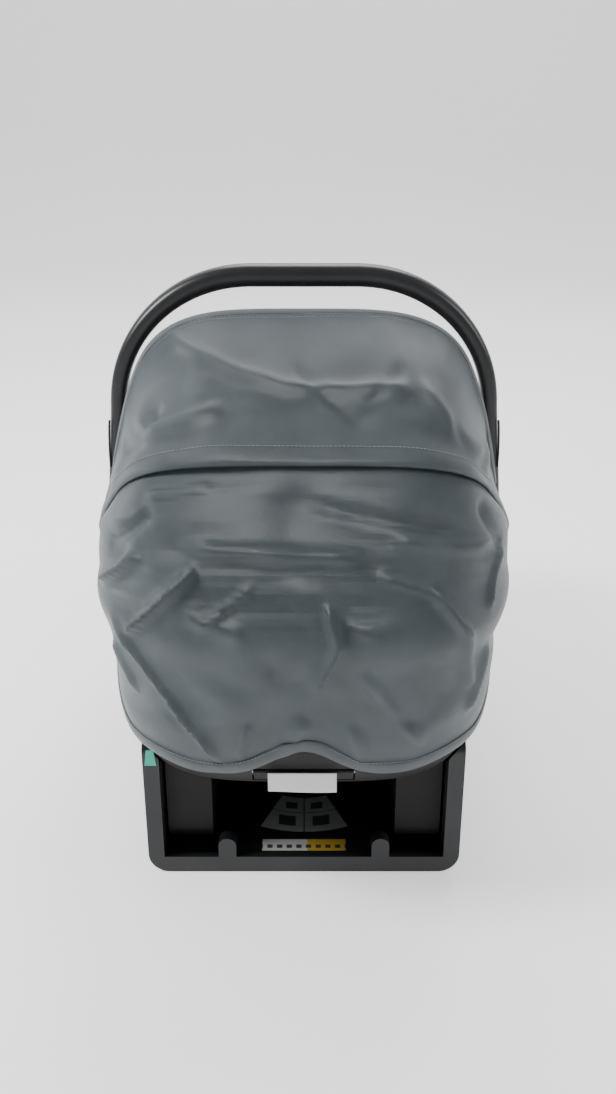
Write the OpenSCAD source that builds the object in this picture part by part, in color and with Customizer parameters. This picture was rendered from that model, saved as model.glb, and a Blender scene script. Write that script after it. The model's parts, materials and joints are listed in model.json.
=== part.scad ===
// Infant car seat: a carrier with a swinging carry handle and a folding canopy, standing on its
// vehicle base. Millimetres, +Z up, origin at the middle of the base's underside. The head end of
// the carrier is at -Y and its foot end at +Y.

/* [Base] */
// Overall width of the base
base_w = 350; // [344:1:360]
// Head end of the base, measured from the origin
base_head = 285; // [275:1:300]
// Foot end of the base, measured from the origin
base_foot = 305; // [298:1:330]
// Height of the side walls at the head end
wall_head_h = 172; // [150:1:174]
// Height of the side walls at their highest point
wall_mid_h = 186; // [165:1:190]

/* [Carrier] */
// Half width of the carrier shell at its rim
rim_half_w = 204; // [203:0.5:204]
// Half length of the carrier shell at its rim
rim_half_l = 342; // [338:1:342]
// Thickness of the moulded shell
shell_t = 4; // [3:0.5:4.5]
// Height of the shell's underside at its lowest point
shell_low_z = 60; // [58:1:61]

/* [Handle and canopy] */
// Height of the handle and canopy pivot above the floor
hub_z = 295; // [294:1:296]
// Distance of the pivot from the origin towards the head end
hub_y = -45; // [-46:1:-44]
// Top of the carry handle above the floor
handle_top = 637; // [630:1:655]
// Radius of the canopy fabric around its pivot
canopy_r = 301; // [296:1:304]

/* [Hidden] */

$fn = 64;
run = 0.05;               // radial clearance of every running fit

// ---- base sizes
wall_t = 18;              // a side wall seen from its end
skin = 4;                 // moulded skin of the hollow base
floor_z = 14;             // top of the raised platform
channel_z = 5;            // floor of the two channels that take the rocker rails
platform_half = 100;
pocket_half = 80.6;       // hollow under the platform
wall_in = base_w / 2 - wall_t;
lip_z = 21;
lip_t = 8;
post_z = 46;
post_x = 86;
post_half = 10;
bar_r = 4;                // steel bars that the latch hooks grip
bar_z = 44;
bar_y = [-60, 150];
ped_in = 84;              // pedestals that carry the bars
ped_out = 96;
belt_y = [222, 284];      // belt path through the foot end
belt_z = [58, 92];
foot_pin_y = 262;         // recline foot's hinge
foot_pin_z = 5;
foot_pin_r = 2.5;
foot_len = 66;
foot_barrel_r = 4.5;
level_y = [60, 110];
level_z = [44, 68];
base_clear = 3;           // gap between the shell and the walls that cradle it
strap_w = 38;
label_t = 0.4;

// ---- carrier sizes
shell_yc = -12;           // middle of the rim in Y
plan_n = 4;               // squareness of the rim's outline
wall_n = 5;               // squareness of the bowl's section
rail_in = 103;
rail_out = 154;
rail_arc = 2800;          // radius of the rockers' underside
rail_low = 13;
rail_y = [-262, 205];
boss_in = rim_half_w + 0.2;
boss_out = 211.5;
boss_r = 34;
pin_r = 8;
pad_in = [15, 28];        // the layers' depths below the shell's outer face
foam_in = [5, 14];
insert_in = [29.5, 43];
web_in = [44, 46];
lever_half = 52;
lever_pin_y = -337;       // the lever hangs from a pin along its top edge
lever_pin_z = 175;
lever_pin_r = 1.5;
lever_slope = 38.7;       // the plate lies on the shell's sloping lower edge
lever_len = 29;
lever_t = 5;
lever_gap = 1.5;
shaft_y = -38;
shaft_z = 57;
shaft_r = 4;
ear_x = [66, 72];
hook_x = [56, 64];

// ---- handle and canopy sizes
arm_out = 234;
arm_in = 212.5;
hub_r = 36;
grip_half = 60;           // flat part of the grip
grip_depth = 30;
grip_t = 25;              // the grip seen from the head end
shoulder_z = 475;
button_r = 14;
button_out = 236;
canopy_half = 203;
canopy_t = 3;
canopy_r0 = 30;
canopy_n = 4;                // squareness of the bows
mid_angle = -49;          // bow angles from upright, positive towards the foot end
front_angle = -9;
ring_in = boss_r + 0.3;
ring_out = 43;
apron_gap = [1.5, 5];     // the apron's faces outside the shell
hem_z = 180;

plastic = [0.16, 0.16, 0.17];
brown_black = [0.17, 0.155, 0.15];
cloth = [0.36, 0.40, 0.43];
steel = [0.7, 0.71, 0.73];
webbing = [0.12, 0.12, 0.13];
grey = [0.5, 0.5, 0.52];

// ---------------------------------------------------------------- helpers

// a closed solid between two grids of points, outer(i, j) and inner(i, j)
module sheet_solid(nu, nv, outer, inner) {
  grid = concat([for (j = [0:nv], i = [0:nu]) outer(i, j)],
                [for (j = [0:nv], i = [0:nu]) inner(i, j)]);
  w = nu + 1;
  n = w * (nv + 1);
  top = [for (j = [0:nv - 1], i = [0:nu - 1]) each
    [[j * w + i, (j + 1) * w + i, (j + 1) * w + i + 1], [j * w + i, (j + 1) * w + i + 1, j * w + i + 1]]];
  low = [for (f = top) [n + f[2], n + f[1], n + f[0]]];
  edge = concat([for (i = [0:nu]) i], [for (j = [1:nv]) j * w + nu],
                [for (i = [nu - 1:-1:0]) nv * w + i], [for (j = [nv - 1:-1:1]) j * w]);
  m = len(edge);
  side = [for (k = [0:m - 1]) let (a = edge[k], b = edge[(k + 1) % m]) each
    [[a, b, n + b], [a, n + b, n + a]]];
  polyhedron(grid, concat(top, low, side), convexity = 10);
}

// a bowl wall: rings from the rim to a pole, outside and inside
module bowl_solid(nu, nv, outer, inner) {
  pts = concat([for (j = [0:nv - 1], i = [0:nu - 1]) outer(i, j)], [outer(0, nv)],
               [for (j = [0:nv - 1], i = [0:nu - 1]) inner(i, j)], [inner(0, nv)]);
  n = nu * nv;
  out = concat([for (j = [0:nv - 2], i = [0:nu - 1]) let (k = (i + 1) % nu) each
      [[j * nu + i, j * nu + k, (j + 1) * nu + k], [j * nu + i, (j + 1) * nu + k, (j + 1) * nu + i]]],
    [for (i = [0:nu - 1]) [(nv - 1) * nu + i, (nv - 1) * nu + (i + 1) % nu, n]]);
  in = [for (f = out) [f[2] + n + 1, f[1] + n + 1, f[0] + n + 1]];
  rim = [for (i = [0:nu - 1]) let (k = (i + 1) % nu) each [[i, n + 1 + i, n + 1 + k], [i, n + 1 + k, k]]];
  polyhedron(pts, concat(out, in, rim), convexity = 10);
}

module x_cylinder(r, x0, x1, y, z) {
  translate([min(x0, x1), y, z]) rotate([0, 90, 0]) cylinder(r = r, h = abs(x1 - x0));
}

module block(x, y, z) {
  translate([x[0], y[0], z[0]]) cube([x[1] - x[0], y[1] - y[0], z[1] - z[0]]);
}

// an outline drawn in the YZ plane, given thickness along X
module side_plate(x0, x1) {
  translate([x0, 0, 0]) rotate([90, 0, 90]) linear_extrude(x1 - x0) children();
}

// an outline drawn in the XZ plane, given thickness along Y
module front_plate(y0, y1) {
  translate([0, y1, 0]) rotate([90, 0, 0]) linear_extrude(y1 - y0) children();
}

module rounded_rect(w, h, r) {
  translate([-w / 2 + r, -h / 2]) square([w - 2 * r, h]);
  translate([-w / 2, -h / 2 + r]) square([w, h - 2 * r]);
  for (sx = [-1, 1], sy = [-1, 1]) translate([sx * (w / 2 - r), sy * (h / 2 - r)]) circle(r);
}

// ---------------------------------------------------------------- the bowl's shape

function power(v, n) = sign(v) * pow(abs(v), n);
function rim_z(y) = 330 - 12 * ease((y + 220) / 175) - 52 * ease((y + 45) / 190) + 30 * ease((y - 190) / 130);
function ease(t) = let (c = min(max(t, 0), 1)) c * c * (3 - 2 * c);
function under_z(y) = y < 60 ? shell_low_z + 56 * pow((60 - y) / 380, 1.3)
                             : shell_low_z + 40 * pow((y - 60) / 250, 2);
function bowl_s(q) = pow(max(0, 1 - pow(q, wall_n)), 1 / wall_n);
// a point of the bowl: a is the angle round the rim, q goes from 1 at the rim to 0 at the pole
function bowl_pt(a, q, inset) =
  let (x = q * (rim_half_w - inset) * power(cos(a), 2 / plan_n),
       y = shell_yc + q * (rim_half_l - inset) * power(sin(a), 2 / plan_n))
  [x, y, bowl_z_q(q, y, inset)];
function bowl_z_q(q, y, inset) = let (top = rim_z(y)) top - bowl_s(q) * (top - under_z(y) - inset);
// the height of the bowl over a place on the floor plan
function bowl_z(x, y, inset) =
  let (q = pow(pow(abs(x) / (rim_half_w - inset), plan_n)
             + pow(abs(y - shell_yc) / (rim_half_l - inset), plan_n), 1 / plan_n))
  bowl_z_q(min(q, 1), y, inset);

bowl_nu = 56;
bowl_nv = 9;
function ring_angle(i) = 360 * i / bowl_nu;
// rings crowd together at the corner between wall and floor
function ring_q(j, top = 1) = top * sin(90 * (1 - pow(j / bowl_nv, 1.6)));

module bowl_layer(out_inset, in_inset, drop = 0) {
  bowl_solid(bowl_nu, bowl_nv,
    function(i, j) bowl_pt(ring_angle(i), ring_q(j), out_inset) - [0, 0, j == 0 ? drop : 0],
    function(i, j) bowl_pt(ring_angle(i), ring_q(j), in_inset) - [0, 0, j == 0 ? drop : 0]);
}

// everything inside the shell's outer face, for trimming what meets it from below
module bowl_core(grow = 0.3) {
  pts = concat([for (j = [0:bowl_nv - 1], i = [0:bowl_nu - 1]) bowl_pt(ring_angle(i), ring_q(j), -grow)],
               [bowl_pt(0, 0, -grow)], [[0, shell_yc, 400]]);
  n = bowl_nu * bowl_nv;
  faces = concat([for (j = [0:bowl_nv - 2], i = [0:bowl_nu - 1]) let (k = (i + 1) % bowl_nu) each
      [[j * bowl_nu + i, j * bowl_nu + k, (j + 1) * bowl_nu + k],
       [j * bowl_nu + i, (j + 1) * bowl_nu + k, (j + 1) * bowl_nu + i]]],
    [for (i = [0:bowl_nu - 1]) [(bowl_nv - 1) * bowl_nu + i, (bowl_nv - 1) * bowl_nu + (i + 1) % bowl_nu, n]],
    [for (i = [0:bowl_nu - 1]) [(i + 1) % bowl_nu, i, n + 1]]);
  polyhedron(pts, faces, convexity = 4);
}

// ---------------------------------------------------------------- base

module wall_outline() {
  r = 14;
  difference() {
    polygon([[-base_head, 0], [-base_head, wall_head_h], [-120, wall_mid_h - 2],
             [20, wall_mid_h], [140, wall_mid_h - 16], [base_foot, 112], [base_foot, 0]]);
    translate([-base_head, wall_head_h - r]) difference() {
      translate([-1, 0]) square([r + 1, r + 4]);
      translate([r, 0]) circle(r);
    }
  }
}

// the hollow inside a wall stays under the cradle that the shell sits over
module hollow_outline() {
  top = [for (y = [-base_head + skin:20:base_foot - skin])
    [y, min(bowl_z(wall_in, y, -base_clear) - 6, wall_head_h - 8, 100 + max(0, -y) * 0.2)]];
  polygon(concat([[-base_head + skin, 0]], top, [[base_foot - skin, 100], [base_foot - skin, 0]]));
}

module base_section() {
  r = 24;
  difference() {
    union() {
      translate([-base_w / 2, r]) square([base_w, 240]);
      translate([-base_w / 2 + r, 0]) square([base_w - 2 * r, 60]);
      for (s = [-1, 1]) translate([s * (base_w / 2 - r), r]) circle(r);
    }
    translate([-wall_in, floor_z]) square([2 * wall_in, 300]);
    for (s = [-1, 1]) translate([s < 0 ? -wall_in : platform_half, channel_z])
      square([wall_in - platform_half, 60]);
  }
}

module wall_hollow() {
  for (s = [-1, 1]) intersection() {
    translate([s * (base_w / 2 - wall_t / 2) - (wall_t / 2 - skin), -base_head + skin, 26])
      cube([wall_t - 2 * skin, base_head + base_foot - 2 * skin, 240]);
    side_plate(-base_w, base_w) hollow_outline();
  }
}

module base_shell() {
  color(plastic) difference() {
    union() {
      difference() {
        intersection() {
          front_plate(-base_head, base_foot) base_section();
          side_plate(-base_w, base_w) wall_outline();
        }
        wall_hollow();
        bowl_core(base_clear);
      }
      // front lip with its two posts, and the closed foot end
      block([-wall_in - 1, wall_in + 1], [-base_head, -base_head + lip_t], [channel_z - 1, lip_z]);
      for (s = [-1, 1]) front_plate(-base_head, -base_head + 15) translate([s * post_x, 0]) {
        translate([-post_half, 5]) square([2 * post_half, post_z - post_half - 5]);
        translate([0, post_z - post_half]) circle(post_half);
      }
      block([-wall_in - 1, wall_in + 1], [base_foot - 15, base_foot], [channel_z - 1, 104]);
      for (y = bar_y, s = [-1, 1]) side_plate(s < 0 ? -ped_out : ped_in, s < 0 ? -ped_in : ped_out) {
        translate([y - 14, floor_z - 1]) square([28, bar_z - floor_z + 1]);
        translate([y, bar_z]) circle(14);
      }
    }
    // hollow under the platform, with solid ribs left at its edges
    for (y = [[-base_head + lip_t, -12], [12, 130], [160, 190]])
      block([-pocket_half, pocket_half], y, [-1, floor_z - skin]);
    block([-pocket_half, pocket_half], [194, foot_pin_y + foot_barrel_r + 1.5], [-1, floor_z - skin]);
    for (y = bar_y) x_cylinder(bar_r + run, -ped_out - 1, ped_out + 1, y, bar_z);
    x_cylinder(foot_pin_r + run, -pocket_half - 8, pocket_half + 8, foot_pin_y, foot_pin_z);
    // belt path through both walls, and the level indicator's window
    block([-base_w, base_w], belt_y, belt_z);
    block([base_w / 2 - 8, base_w], level_y, level_z);
  }
}

module latch_bars() {
  color(steel) for (y = bar_y) x_cylinder(bar_r, -ped_out, ped_out, y, bar_z);
}

// a frame lining one mouth of the belt path
module belt_guide(s) {
  gap = 0.4;
  lip = 5;
  x0 = s < 0 ? -base_w / 2 : wall_in;
  color([0.2, 0.55, 0.62]) difference() {
    block([x0, x0 + wall_t], [belt_y[0] + gap, belt_y[1] - gap], [belt_z[0] + gap, belt_z[1] - gap]);
    block([x0 - 1, x0 + wall_t + 1], [belt_y[0] + lip, belt_y[1] - lip], [belt_z[0] + lip, belt_z[1] - lip]);
  }
}

// small tab on the end face of the left wall, where the belt is threaded
module belt_marker() {
  x = -wall_in - wall_t / 2;
  z = wall_head_h - 27;
  color([0.2, 0.72, 0.56]) front_plate(-base_head - 1, -base_head)
    polygon([[x - 6.5, z], [x + 6.5, z], [x + 4, z + 20], [x - 4, z + 20]]);
}

module level_housing() {
  gap = 0.4;
  x = [base_w / 2 - 7, base_w / 2];
  color(grey) difference() {
    block(x, [level_y[0] + gap, level_y[1] - gap], [level_z[0] + gap, level_z[1] - gap]);
    block([x[0] + 2, x[1] + 1], [level_y[0] + 4, level_y[1] - 4], [level_z[0] + 4, level_z[1] - 4]);
  }
}

module level_window() {
  color([0.8, 0.9, 0.95, 0.5])
    block([base_w / 2 - 1.5, base_w / 2 - 0.1], [level_y[0] + 4.2, level_y[1] - 4.2],
          [level_z[0] + 4.2, level_z[1] - 4.2]);
}

module level_ball() {
  r = 1.6;
  color([0.9, 0.45, 0.1]) translate([base_w / 2 - 3.3, (level_y[0] + level_y[1]) / 2, level_z[0] + 4 + r])
    sphere(r);
}

anchor_y = 256;
anchor_z = 40;
module anchor_strap() {
  color(webbing) block([-108, 108], [anchor_y - strap_w / 2, anchor_y + strap_w / 2], [anchor_z - 0.8, anchor_z + 0.8]);
}

// hook-shaped lower anchor connector, clipped inside the wall
module anchor_connector(s) {
  color(steel) translate([s * 129, anchor_y, anchor_z]) mirror([s < 0 ? 1 : 0, 0, 0]) difference() {
    translate([0, 0, -6]) linear_extrude(12) rounded_rect(40, 34, 6);
    translate([12, -6, -8]) cube([30, 12, 16]);
    translate([-19, -strap_w / 2, -1.1]) cube([3, strap_w, 2.2]);
    x_cylinder(3, 6, 12, 0, 0);
  }
}

module base_label_upper() {
  color([0.62, 0.63, 0.64]) translate([0, -98, floor_z]) linear_extrude(label_t) intersection() {
    difference() {
      circle(134);
      circle(70);
    }
    polygon([[0, 0], [-62, -150], [62, -150]]);
  }
}

module base_label_lower() {
  color([0.9, 0.85, 0.6]) block([-48, 48], [-266, -246], [floor_z, floor_z + label_t]);
}

module recline_foot() {
  color(plastic) difference() {
    union() {
      x_cylinder(foot_barrel_r, -pocket_half + 0.6, pocket_half - 0.6, foot_pin_y, foot_pin_z);
      block([-pocket_half + 0.6, pocket_half - 0.6], [foot_pin_y - foot_len, foot_pin_y], [1.5, 6.5]);
    }
    x_cylinder(foot_pin_r + run, -base_w, base_w, foot_pin_y, foot_pin_z);
  }
}

module recline_pin() {
  color(steel) x_cylinder(foot_pin_r, -pocket_half - 7.5, pocket_half + 7.5, foot_pin_y, foot_pin_z);
}

// ---------------------------------------------------------------- carrier

module at_lever() {
  translate([0, lever_pin_y, lever_pin_z]) rotate([lever_slope, 0, 0]) children();
}

// room for the release lever in the lower edge of the head end
module lever_room() {
  w = lever_half + lever_gap;
  at_lever() block([-w, w], [-20, lever_t + 3.5], [-lever_len - lever_gap, 5]);
}

module carrier_shell() {
  color(brown_black) difference() {
    bowl_layer(0, shell_t);
    lever_room();
  }
}

module rocker(s) {
  color(brown_black) difference() {
    side_plate(s < 0 ? -rail_out : rail_in, s < 0 ? -rail_in : rail_out) intersection() {
      translate([rail_y[0], 0]) square([rail_y[1] - rail_y[0], 190]);
      translate([-30, rail_low + rail_arc]) circle(rail_arc, $fn = 400);
      // rounded toes at both ends
      union() {
        translate([rail_y[0], 46]) square([rail_y[1] - rail_y[0], 150]);
        translate([rail_y[0] + 22, 0]) square([rail_y[1] - rail_y[0] - 44, 60]);
        for (y = [rail_y[0] + 24, rail_y[1] - 24]) translate([y, 46]) circle(24);
      }
    }
    bowl_core();
    // cored out from above
    block([s < 0 ? -rail_out + 4 : rail_in + 4, s < 0 ? -rail_in - 4 : rail_out - 4],
          [rail_y[0] + 4, rail_y[1] - 4], [50, 200]);
  }
}

module hub_boss(s) {
  color(brown_black) difference() {
    x_cylinder(boss_r, s * boss_in, s * boss_out, hub_y, hub_z);
    x_cylinder(pin_r + run, s * (boss_in - 1), s * (boss_out + 1), hub_y, hub_z);
  }
}

module pivot_pins() {
  color(steel) for (s = [-1, 1]) x_cylinder(pin_r, s * (boss_in + 0.2), s * 222, hub_y, hub_z);
}

module foam_liner() {
  color([0.92, 0.92, 0.9]) intersection() {
    bowl_layer(foam_in[0], foam_in[1], 14);
    difference() {
      block([-300, 300], [-400, 40], [0, 500]);
      lever_room();
    }
  }
}

module seat_pad() {
  color(cloth) difference() {
    bowl_layer(pad_in[0], pad_in[1], 4);
    lever_room();
  }
}

module body_insert() {
  top = 0.62;
  color([0.5, 0.53, 0.56]) intersection() {
    bowl_solid(bowl_nu, 6,
      function(i, j) bowl_pt(ring_angle(i), top * (1 - j / 6), insert_in[0]),
      function(i, j) bowl_pt(ring_angle(i), (top - 0.01) * (1 - j / 6), insert_in[1]));
    block([-118, 118], [-110, 190], [0, 400]);
  }
}

module head_insert() {
  r = 21;
  ring = 84;
  color([0.5, 0.53, 0.56]) translate([0, -172, bowl_z(0, -172, pad_in[1]) + r + 10]) rotate([17, 0, 180]) union() {
    rotate_extrude(angle = 180) translate([ring, 0]) circle(r, $fn = 32);
    for (s = [-1, 1]) translate([s * ring, 0, 0]) sphere(r, $fn = 32);
  }
}

// a flat web laid on the insert from a to b, both [x, y]
module web_on_bowl(a, b, width, steps = 8) {
  d = b - a;
  side = [-d[1], d[0]] / norm(d) * width / 2;
  sheet_solid(steps, 2,
    function(i, j) let (p = a + d * i / steps + side * (j - 1)) [p[0], p[1], bowl_z(p[0], p[1], web_in[1])],
    function(i, j) let (p = a + d * i / steps + side * (j - 1)) [p[0], p[1], bowl_z(p[0], p[1], web_in[0])]);
}

module shoulder_straps() {
  color(webbing) for (s = [-1, 1]) web_on_bowl([s * 44, -128], [s * 22, 22], strap_w - 2);
}

module hip_straps() {
  color(webbing) for (s = [-1, 1]) web_on_bowl([s * 112, 60], [s * 36, 60], strap_w - 4);
}

module crotch_strap() {
  color(webbing) web_on_bowl([0, 178], [0, 84], strap_w - 4);
}

buckle_z = 112;
buckle_y = [24, 82];
module buckle_body() {
  color([0.1, 0.1, 0.11]) difference() {
    translate([0, (buckle_y[0] + buckle_y[1]) / 2, buckle_z]) linear_extrude(20)
      rounded_rect(56, buckle_y[1] - buckle_y[0], 9);
    translate([0, 58, buckle_z + 10]) linear_extrude(20) rounded_rect(30.6, 26.6, 5.3);
    for (s = [-1, 1]) block([s < 0 ? -30 : 17, s < 0 ? -17 : 30], [28, 52], [buckle_z + 5, buckle_z + 9]);
  }
}

module buckle_button() {
  color([0.75, 0.08, 0.07]) translate([0, 58, buckle_z + 14.5]) linear_extrude(7) rounded_rect(30, 26, 5);
}

module buckle_tongues() {
  color(steel) for (s = [-1, 1])
    block([s < 0 ? -36 : 17.5, s < 0 ? -17.5 : 36], [29, 51], [buckle_z + 5.5, buckle_z + 8.5]);
}

clip_y = -44;
clip_z = 122.5;
module chest_clip(s) {
  color([0.12, 0.12, 0.13]) translate([0, clip_y, clip_z]) linear_extrude(9) difference() {
    translate([s * 24.2, 0]) rounded_rect(48, 34, 6);
    for (k = [-1, 1]) translate([s * 26 + k * 13 - 2, -13]) square([4, 26]);
  }
}

adj_y = 331;
module adjuster_housing() {
  color(plastic) difference() {
    block([-26, 26], [adj_y, adj_y + 10], [196, 250]);
    block([-19, 19], [adj_y + 2, adj_y + 11], [204, 244]);
    x_cylinder(1.5 + run, -23, 23, adj_y + 6, 240);
  }
}

module adjuster_lever() {
  color([0.35, 0.36, 0.38]) difference() {
    union() {
      block([-18.5, 18.5], [adj_y + 4.5, adj_y + 8.5], [206, 240]);
      x_cylinder(2.9, -18.5, 18.5, adj_y + 6, 240);
    }
    x_cylinder(1.5 + run, -30, 30, adj_y + 6, 240);
  }
}

module adjuster_pin() {
  color(steel) x_cylinder(1.5, -22.5, 22.5, adj_y + 6, 240);
}

// open hook on the rim's side that holds a vehicle belt
module belt_hook(s) {
  x0 = rim_half_w - 3;
  color([0.2, 0.45, 0.6]) difference() {
    block([s < 0 ? -x0 - 8 : x0, s < 0 ? -x0 : x0 + 8], [96, 156], [205, 240]);
    bowl_core();
    block([s < 0 ? -x0 - 5 : x0 - 9, s < 0 ? -x0 + 9 : x0 + 5], [104, 157], [213, 228]);
  }
}

module law_tag() {
  color([0.93, 0.93, 0.93]) translate([-1, -346.5, 157]) rotate([0, -1.5, 0]) block([-36, 36], [0, 0.8], [0, 21.5]);
}

// slanting plate with a finger recess along its lower edge
module release_lever() {
  color(brown_black) at_lever() difference() {
    union() {
      x_cylinder(3, -lever_half, lever_half, 0, 0);
      block([-lever_half, lever_half], [-1, lever_t - 1], [-lever_len, 0]);
    }
    block([-lever_half + 10, lever_half - 10], [1.5, lever_t + 1], [-lever_len - 1, -lever_len + 13]);
    x_cylinder(lever_pin_r + run, -lever_half - 1, lever_half + 1, 0, 0);
  }
}

module lever_pin() {
  color(steel) at_lever() x_cylinder(lever_pin_r, -lever_half - 1.2, lever_half + 1.2, 0, 0);
}

cable_path = [[0, -303, 134], [0, -296, 120], [0, -270, 103], [0, -230, 93], [0, -190, 83], [0, -150, 74],
              [0, -110, 66], [0, -80, 61], [0, -56, 58]];
module release_cable() {
  r = 2.2;
  sides = 8;
  count = len(cable_path) - 1;
  dir = [for (i = [0:count]) let (d = cable_path[min(i + 1, count)] - cable_path[max(i - 1, 0)]) d / norm(d)];
  pts = [for (i = [0:count], k = [0:sides - 1]) let (a = 360 * k / sides)
    cable_path[i] + r * (cos(a) * [1, 0, 0] + sin(a) * cross(dir[i], [1, 0, 0]))];
  faces = concat([for (i = [0:count - 1], k = [0:sides - 1]) let (m = (k + 1) % sides)
      [i * sides + k, i * sides + m, (i + 1) * sides + m, (i + 1) * sides + k]],
    [[for (k = [sides - 1:-1:0]) k]], [[for (k = [0:sides - 1]) count * sides + k]]);
  color([0.08, 0.08, 0.08]) polyhedron(pts, faces);
}

module latch_bracket() {
  color(steel) difference() {
    union() {
      for (s = [-1, 1]) side_plate(s < 0 ? -ear_x[1] : ear_x[0], s < 0 ? -ear_x[0] : ear_x[1]) {
        translate([shaft_y, shaft_z]) circle(8);
        translate([shaft_y - 8, shaft_z]) square([16, 30]);
      }
    }
    x_cylinder(shaft_r + run, -100, 100, shaft_y, shaft_z);
    bowl_core();
  }
}

// cross shaft with a hook at each side that grips the base's bar
module latch_hooks() {
  color(steel) {
    x_cylinder(shaft_r, -ear_x[1] - 1, ear_x[1] + 1, shaft_y, shaft_z);
    for (s = [-1, 1]) side_plate(s < 0 ? -hook_x[1] : hook_x[0], s < 0 ? -hook_x[0] : hook_x[1]) {
      translate([shaft_y, shaft_z]) circle(7.5);
      polygon([[shaft_y - 5, shaft_z], [shaft_y + 6, shaft_z], [shaft_y + 4, bar_z - 13], [bar_y[0] - 6, bar_z - 13],
               [bar_y[0] - 8, bar_z - 9], [bar_y[0] - 6, bar_z - 7], [shaft_y - 8, bar_z - 7]]);
    }
  }
}

module latch_spring() {
  color(steel) for (x = [-12:4:12]) translate([x, shaft_y, shaft_z]) rotate([0, 90, 0])
    rotate_extrude() translate([5.6, 0]) circle(1.1, $fn = 24);
}

// ---------------------------------------------------------------- handle

// half of the arch's outline: flat grip, quarter ellipse, then straight to the hub
function arch_side(top, a, foot_x, foot_z, steps = 16) =
  concat([for (k = [0:steps]) let (t = 90 * (1 - k / steps))
    [grip_half + a * cos(t), shoulder_z + (top - shoulder_z) * sin(t)]],
    [[foot_x - 5, foot_z + 60], [foot_x, foot_z], [foot_x, hub_z]]);
function both_sides(p) = concat([for (i = [len(p) - 1:-1:0]) [-p[i][0], p[i][1]]], p);

module arch_outline() {
  difference() {
    polygon(both_sides(arch_side(handle_top, 162, arm_out, 340)));
    polygon(both_sides(concat(arch_side(handle_top - grip_t, 143, arm_in, 380), [[arm_in, hub_z - 1]])));
  }
}

module carry_handle() {
  color(plastic) difference() {
    union() {
      front_plate(hub_y - grip_depth / 2, hub_y + grip_depth / 2) arch_outline();
      for (s = [-1, 1]) x_cylinder(hub_r, s * arm_in, s * arm_out, hub_y, hub_z);
    }
    for (s = [-1, 1]) {
      x_cylinder(pin_r + run, s * (arm_in - 5), s * 222.5, hub_y, hub_z);
      x_cylinder(button_r + 0.3, s * 224.5, s * (arm_out + 5), hub_y, hub_z);
    }
  }
}

module handle_button(s) {
  color([0.3, 0.31, 0.33]) x_cylinder(button_r, s * 229.5, s * button_out, hub_y, hub_z);
}

// ---------------------------------------------------------------- canopy

// place a solid drawn with the bow plane as XZ (pivot at the origin, up along Z) at a bow angle
module at_bow(angle) {
  translate([0, hub_y, hub_z]) rotate([-angle, 0, 0]) children();
}

function bow_xr(t, half, r) = [half * power(cos(t), 2 / canopy_n),
                               canopy_r0 + (r - canopy_r0) * power(sin(t), 2 / canopy_n)];

// flat arch of the bow, from one end to the other
module bow_band(half, r, width, steps = 36) {
  outer = [for (k = [0:steps]) bow_xr(180 * k / steps, half, r)];
  inner = [for (k = [steps:-1:0]) bow_xr(180 * k / steps, half - width, r - width)];
  polygon(concat(outer, inner));
}

module bow(half, r, angle, ring_x) {
  depth = 5;
  color([0.1, 0.1, 0.11]) at_bow(angle) {
    difference() {
      union() {
        translate([0, depth / 2, 0]) rotate([90, 0, 0]) linear_extrude(depth) bow_band(half, r, 6);
        for (s = [-1, 1]) {
          x_cylinder(ring_out, s * ring_x[0], s * ring_x[1], 0, 0);
          block([s < 0 ? -ring_x[1] : half - 6, s < 0 ? -half + 6 : ring_x[1]], [-5, 5], [ring_in + 2, 98]);
        }
      }
      x_cylinder(ring_in, -300, 300, 0, 0);
      // the ring's inner face stays outside the shell
      block([-ring_x[0], ring_x[0]], [-60, 60], [-60, 75]);
    }
  }
}

module canopy_mid_bow() {
  bow(canopy_half - 4, canopy_r - 5, mid_angle, [204.6, 206.8]);
}

module canopy_front_bow() {
  bow(canopy_half - 4, canopy_r - 5, front_angle, [207.3, 209.5]);
}

panel_nu = 40;
panel_start = 4.8;        // the panels begin above the bows' end plates
function bow_pt(u, angle, grow) =
  let (t = panel_start + (180 - 2 * panel_start) * u, xr = bow_xr(t, canopy_half + grow, canopy_r + grow))
  [xr[0], hub_y + xr[1] * sin(angle), hub_z + xr[1] * cos(angle)];

module canopy_front_panel() {
  nv = 7;
  a0 = mid_angle + 1;
  a1 = front_angle + 1;
  color(cloth) sheet_solid(panel_nu, nv,
    function(i, j) bow_pt(i / panel_nu, a1 + (a0 - a1) * j / nv, 0),
    function(i, j) bow_pt(i / panel_nu, a1 + (a0 - a1) * j / nv, -canopy_t));
}

// the shell's outer face with a gap, from the rim down to the apron's hem
function apron_angle(u) = -(6.5 + 167 * u);
function hem_height(y) = hem_z + 96 * ease((y + 300) / 230);
function apron_q(a, v) =
  let (y = bowl_pt(a, 1, 0)[1], s = v * (rim_z(y) - hem_height(y)) / (rim_z(y) - under_z(y)))
  pow(1 - pow(s, wall_n), 1 / wall_n);
function apron_pt(u, v, gap) = bowl_pt(apron_angle(u), apron_q(apron_angle(u), v), -gap) + [0, 0, gap * (1 - v)];

module canopy_apron() {
  nv = 6;
  color(cloth) sheet_solid(panel_nu, nv,
    function(i, j) apron_pt(i / panel_nu, j / nv, apron_gap[1]),
    function(i, j) apron_pt(i / panel_nu, j / nv, apron_gap[0]));
}

// lofted from the mid bow down to the apron's top edge
function rear_pt(u, v, grow) =
  let (p = bow_pt(u, mid_angle, grow), q = apron_pt(u, 0, apron_gap[1] + grow) + [0, 0, 1.5],
       bulge = 13 * 4 * v * (1 - v) * sin(180 * u))
  p + (q - p) * v + [0, -0.75, 0.65] * bulge;

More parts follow.
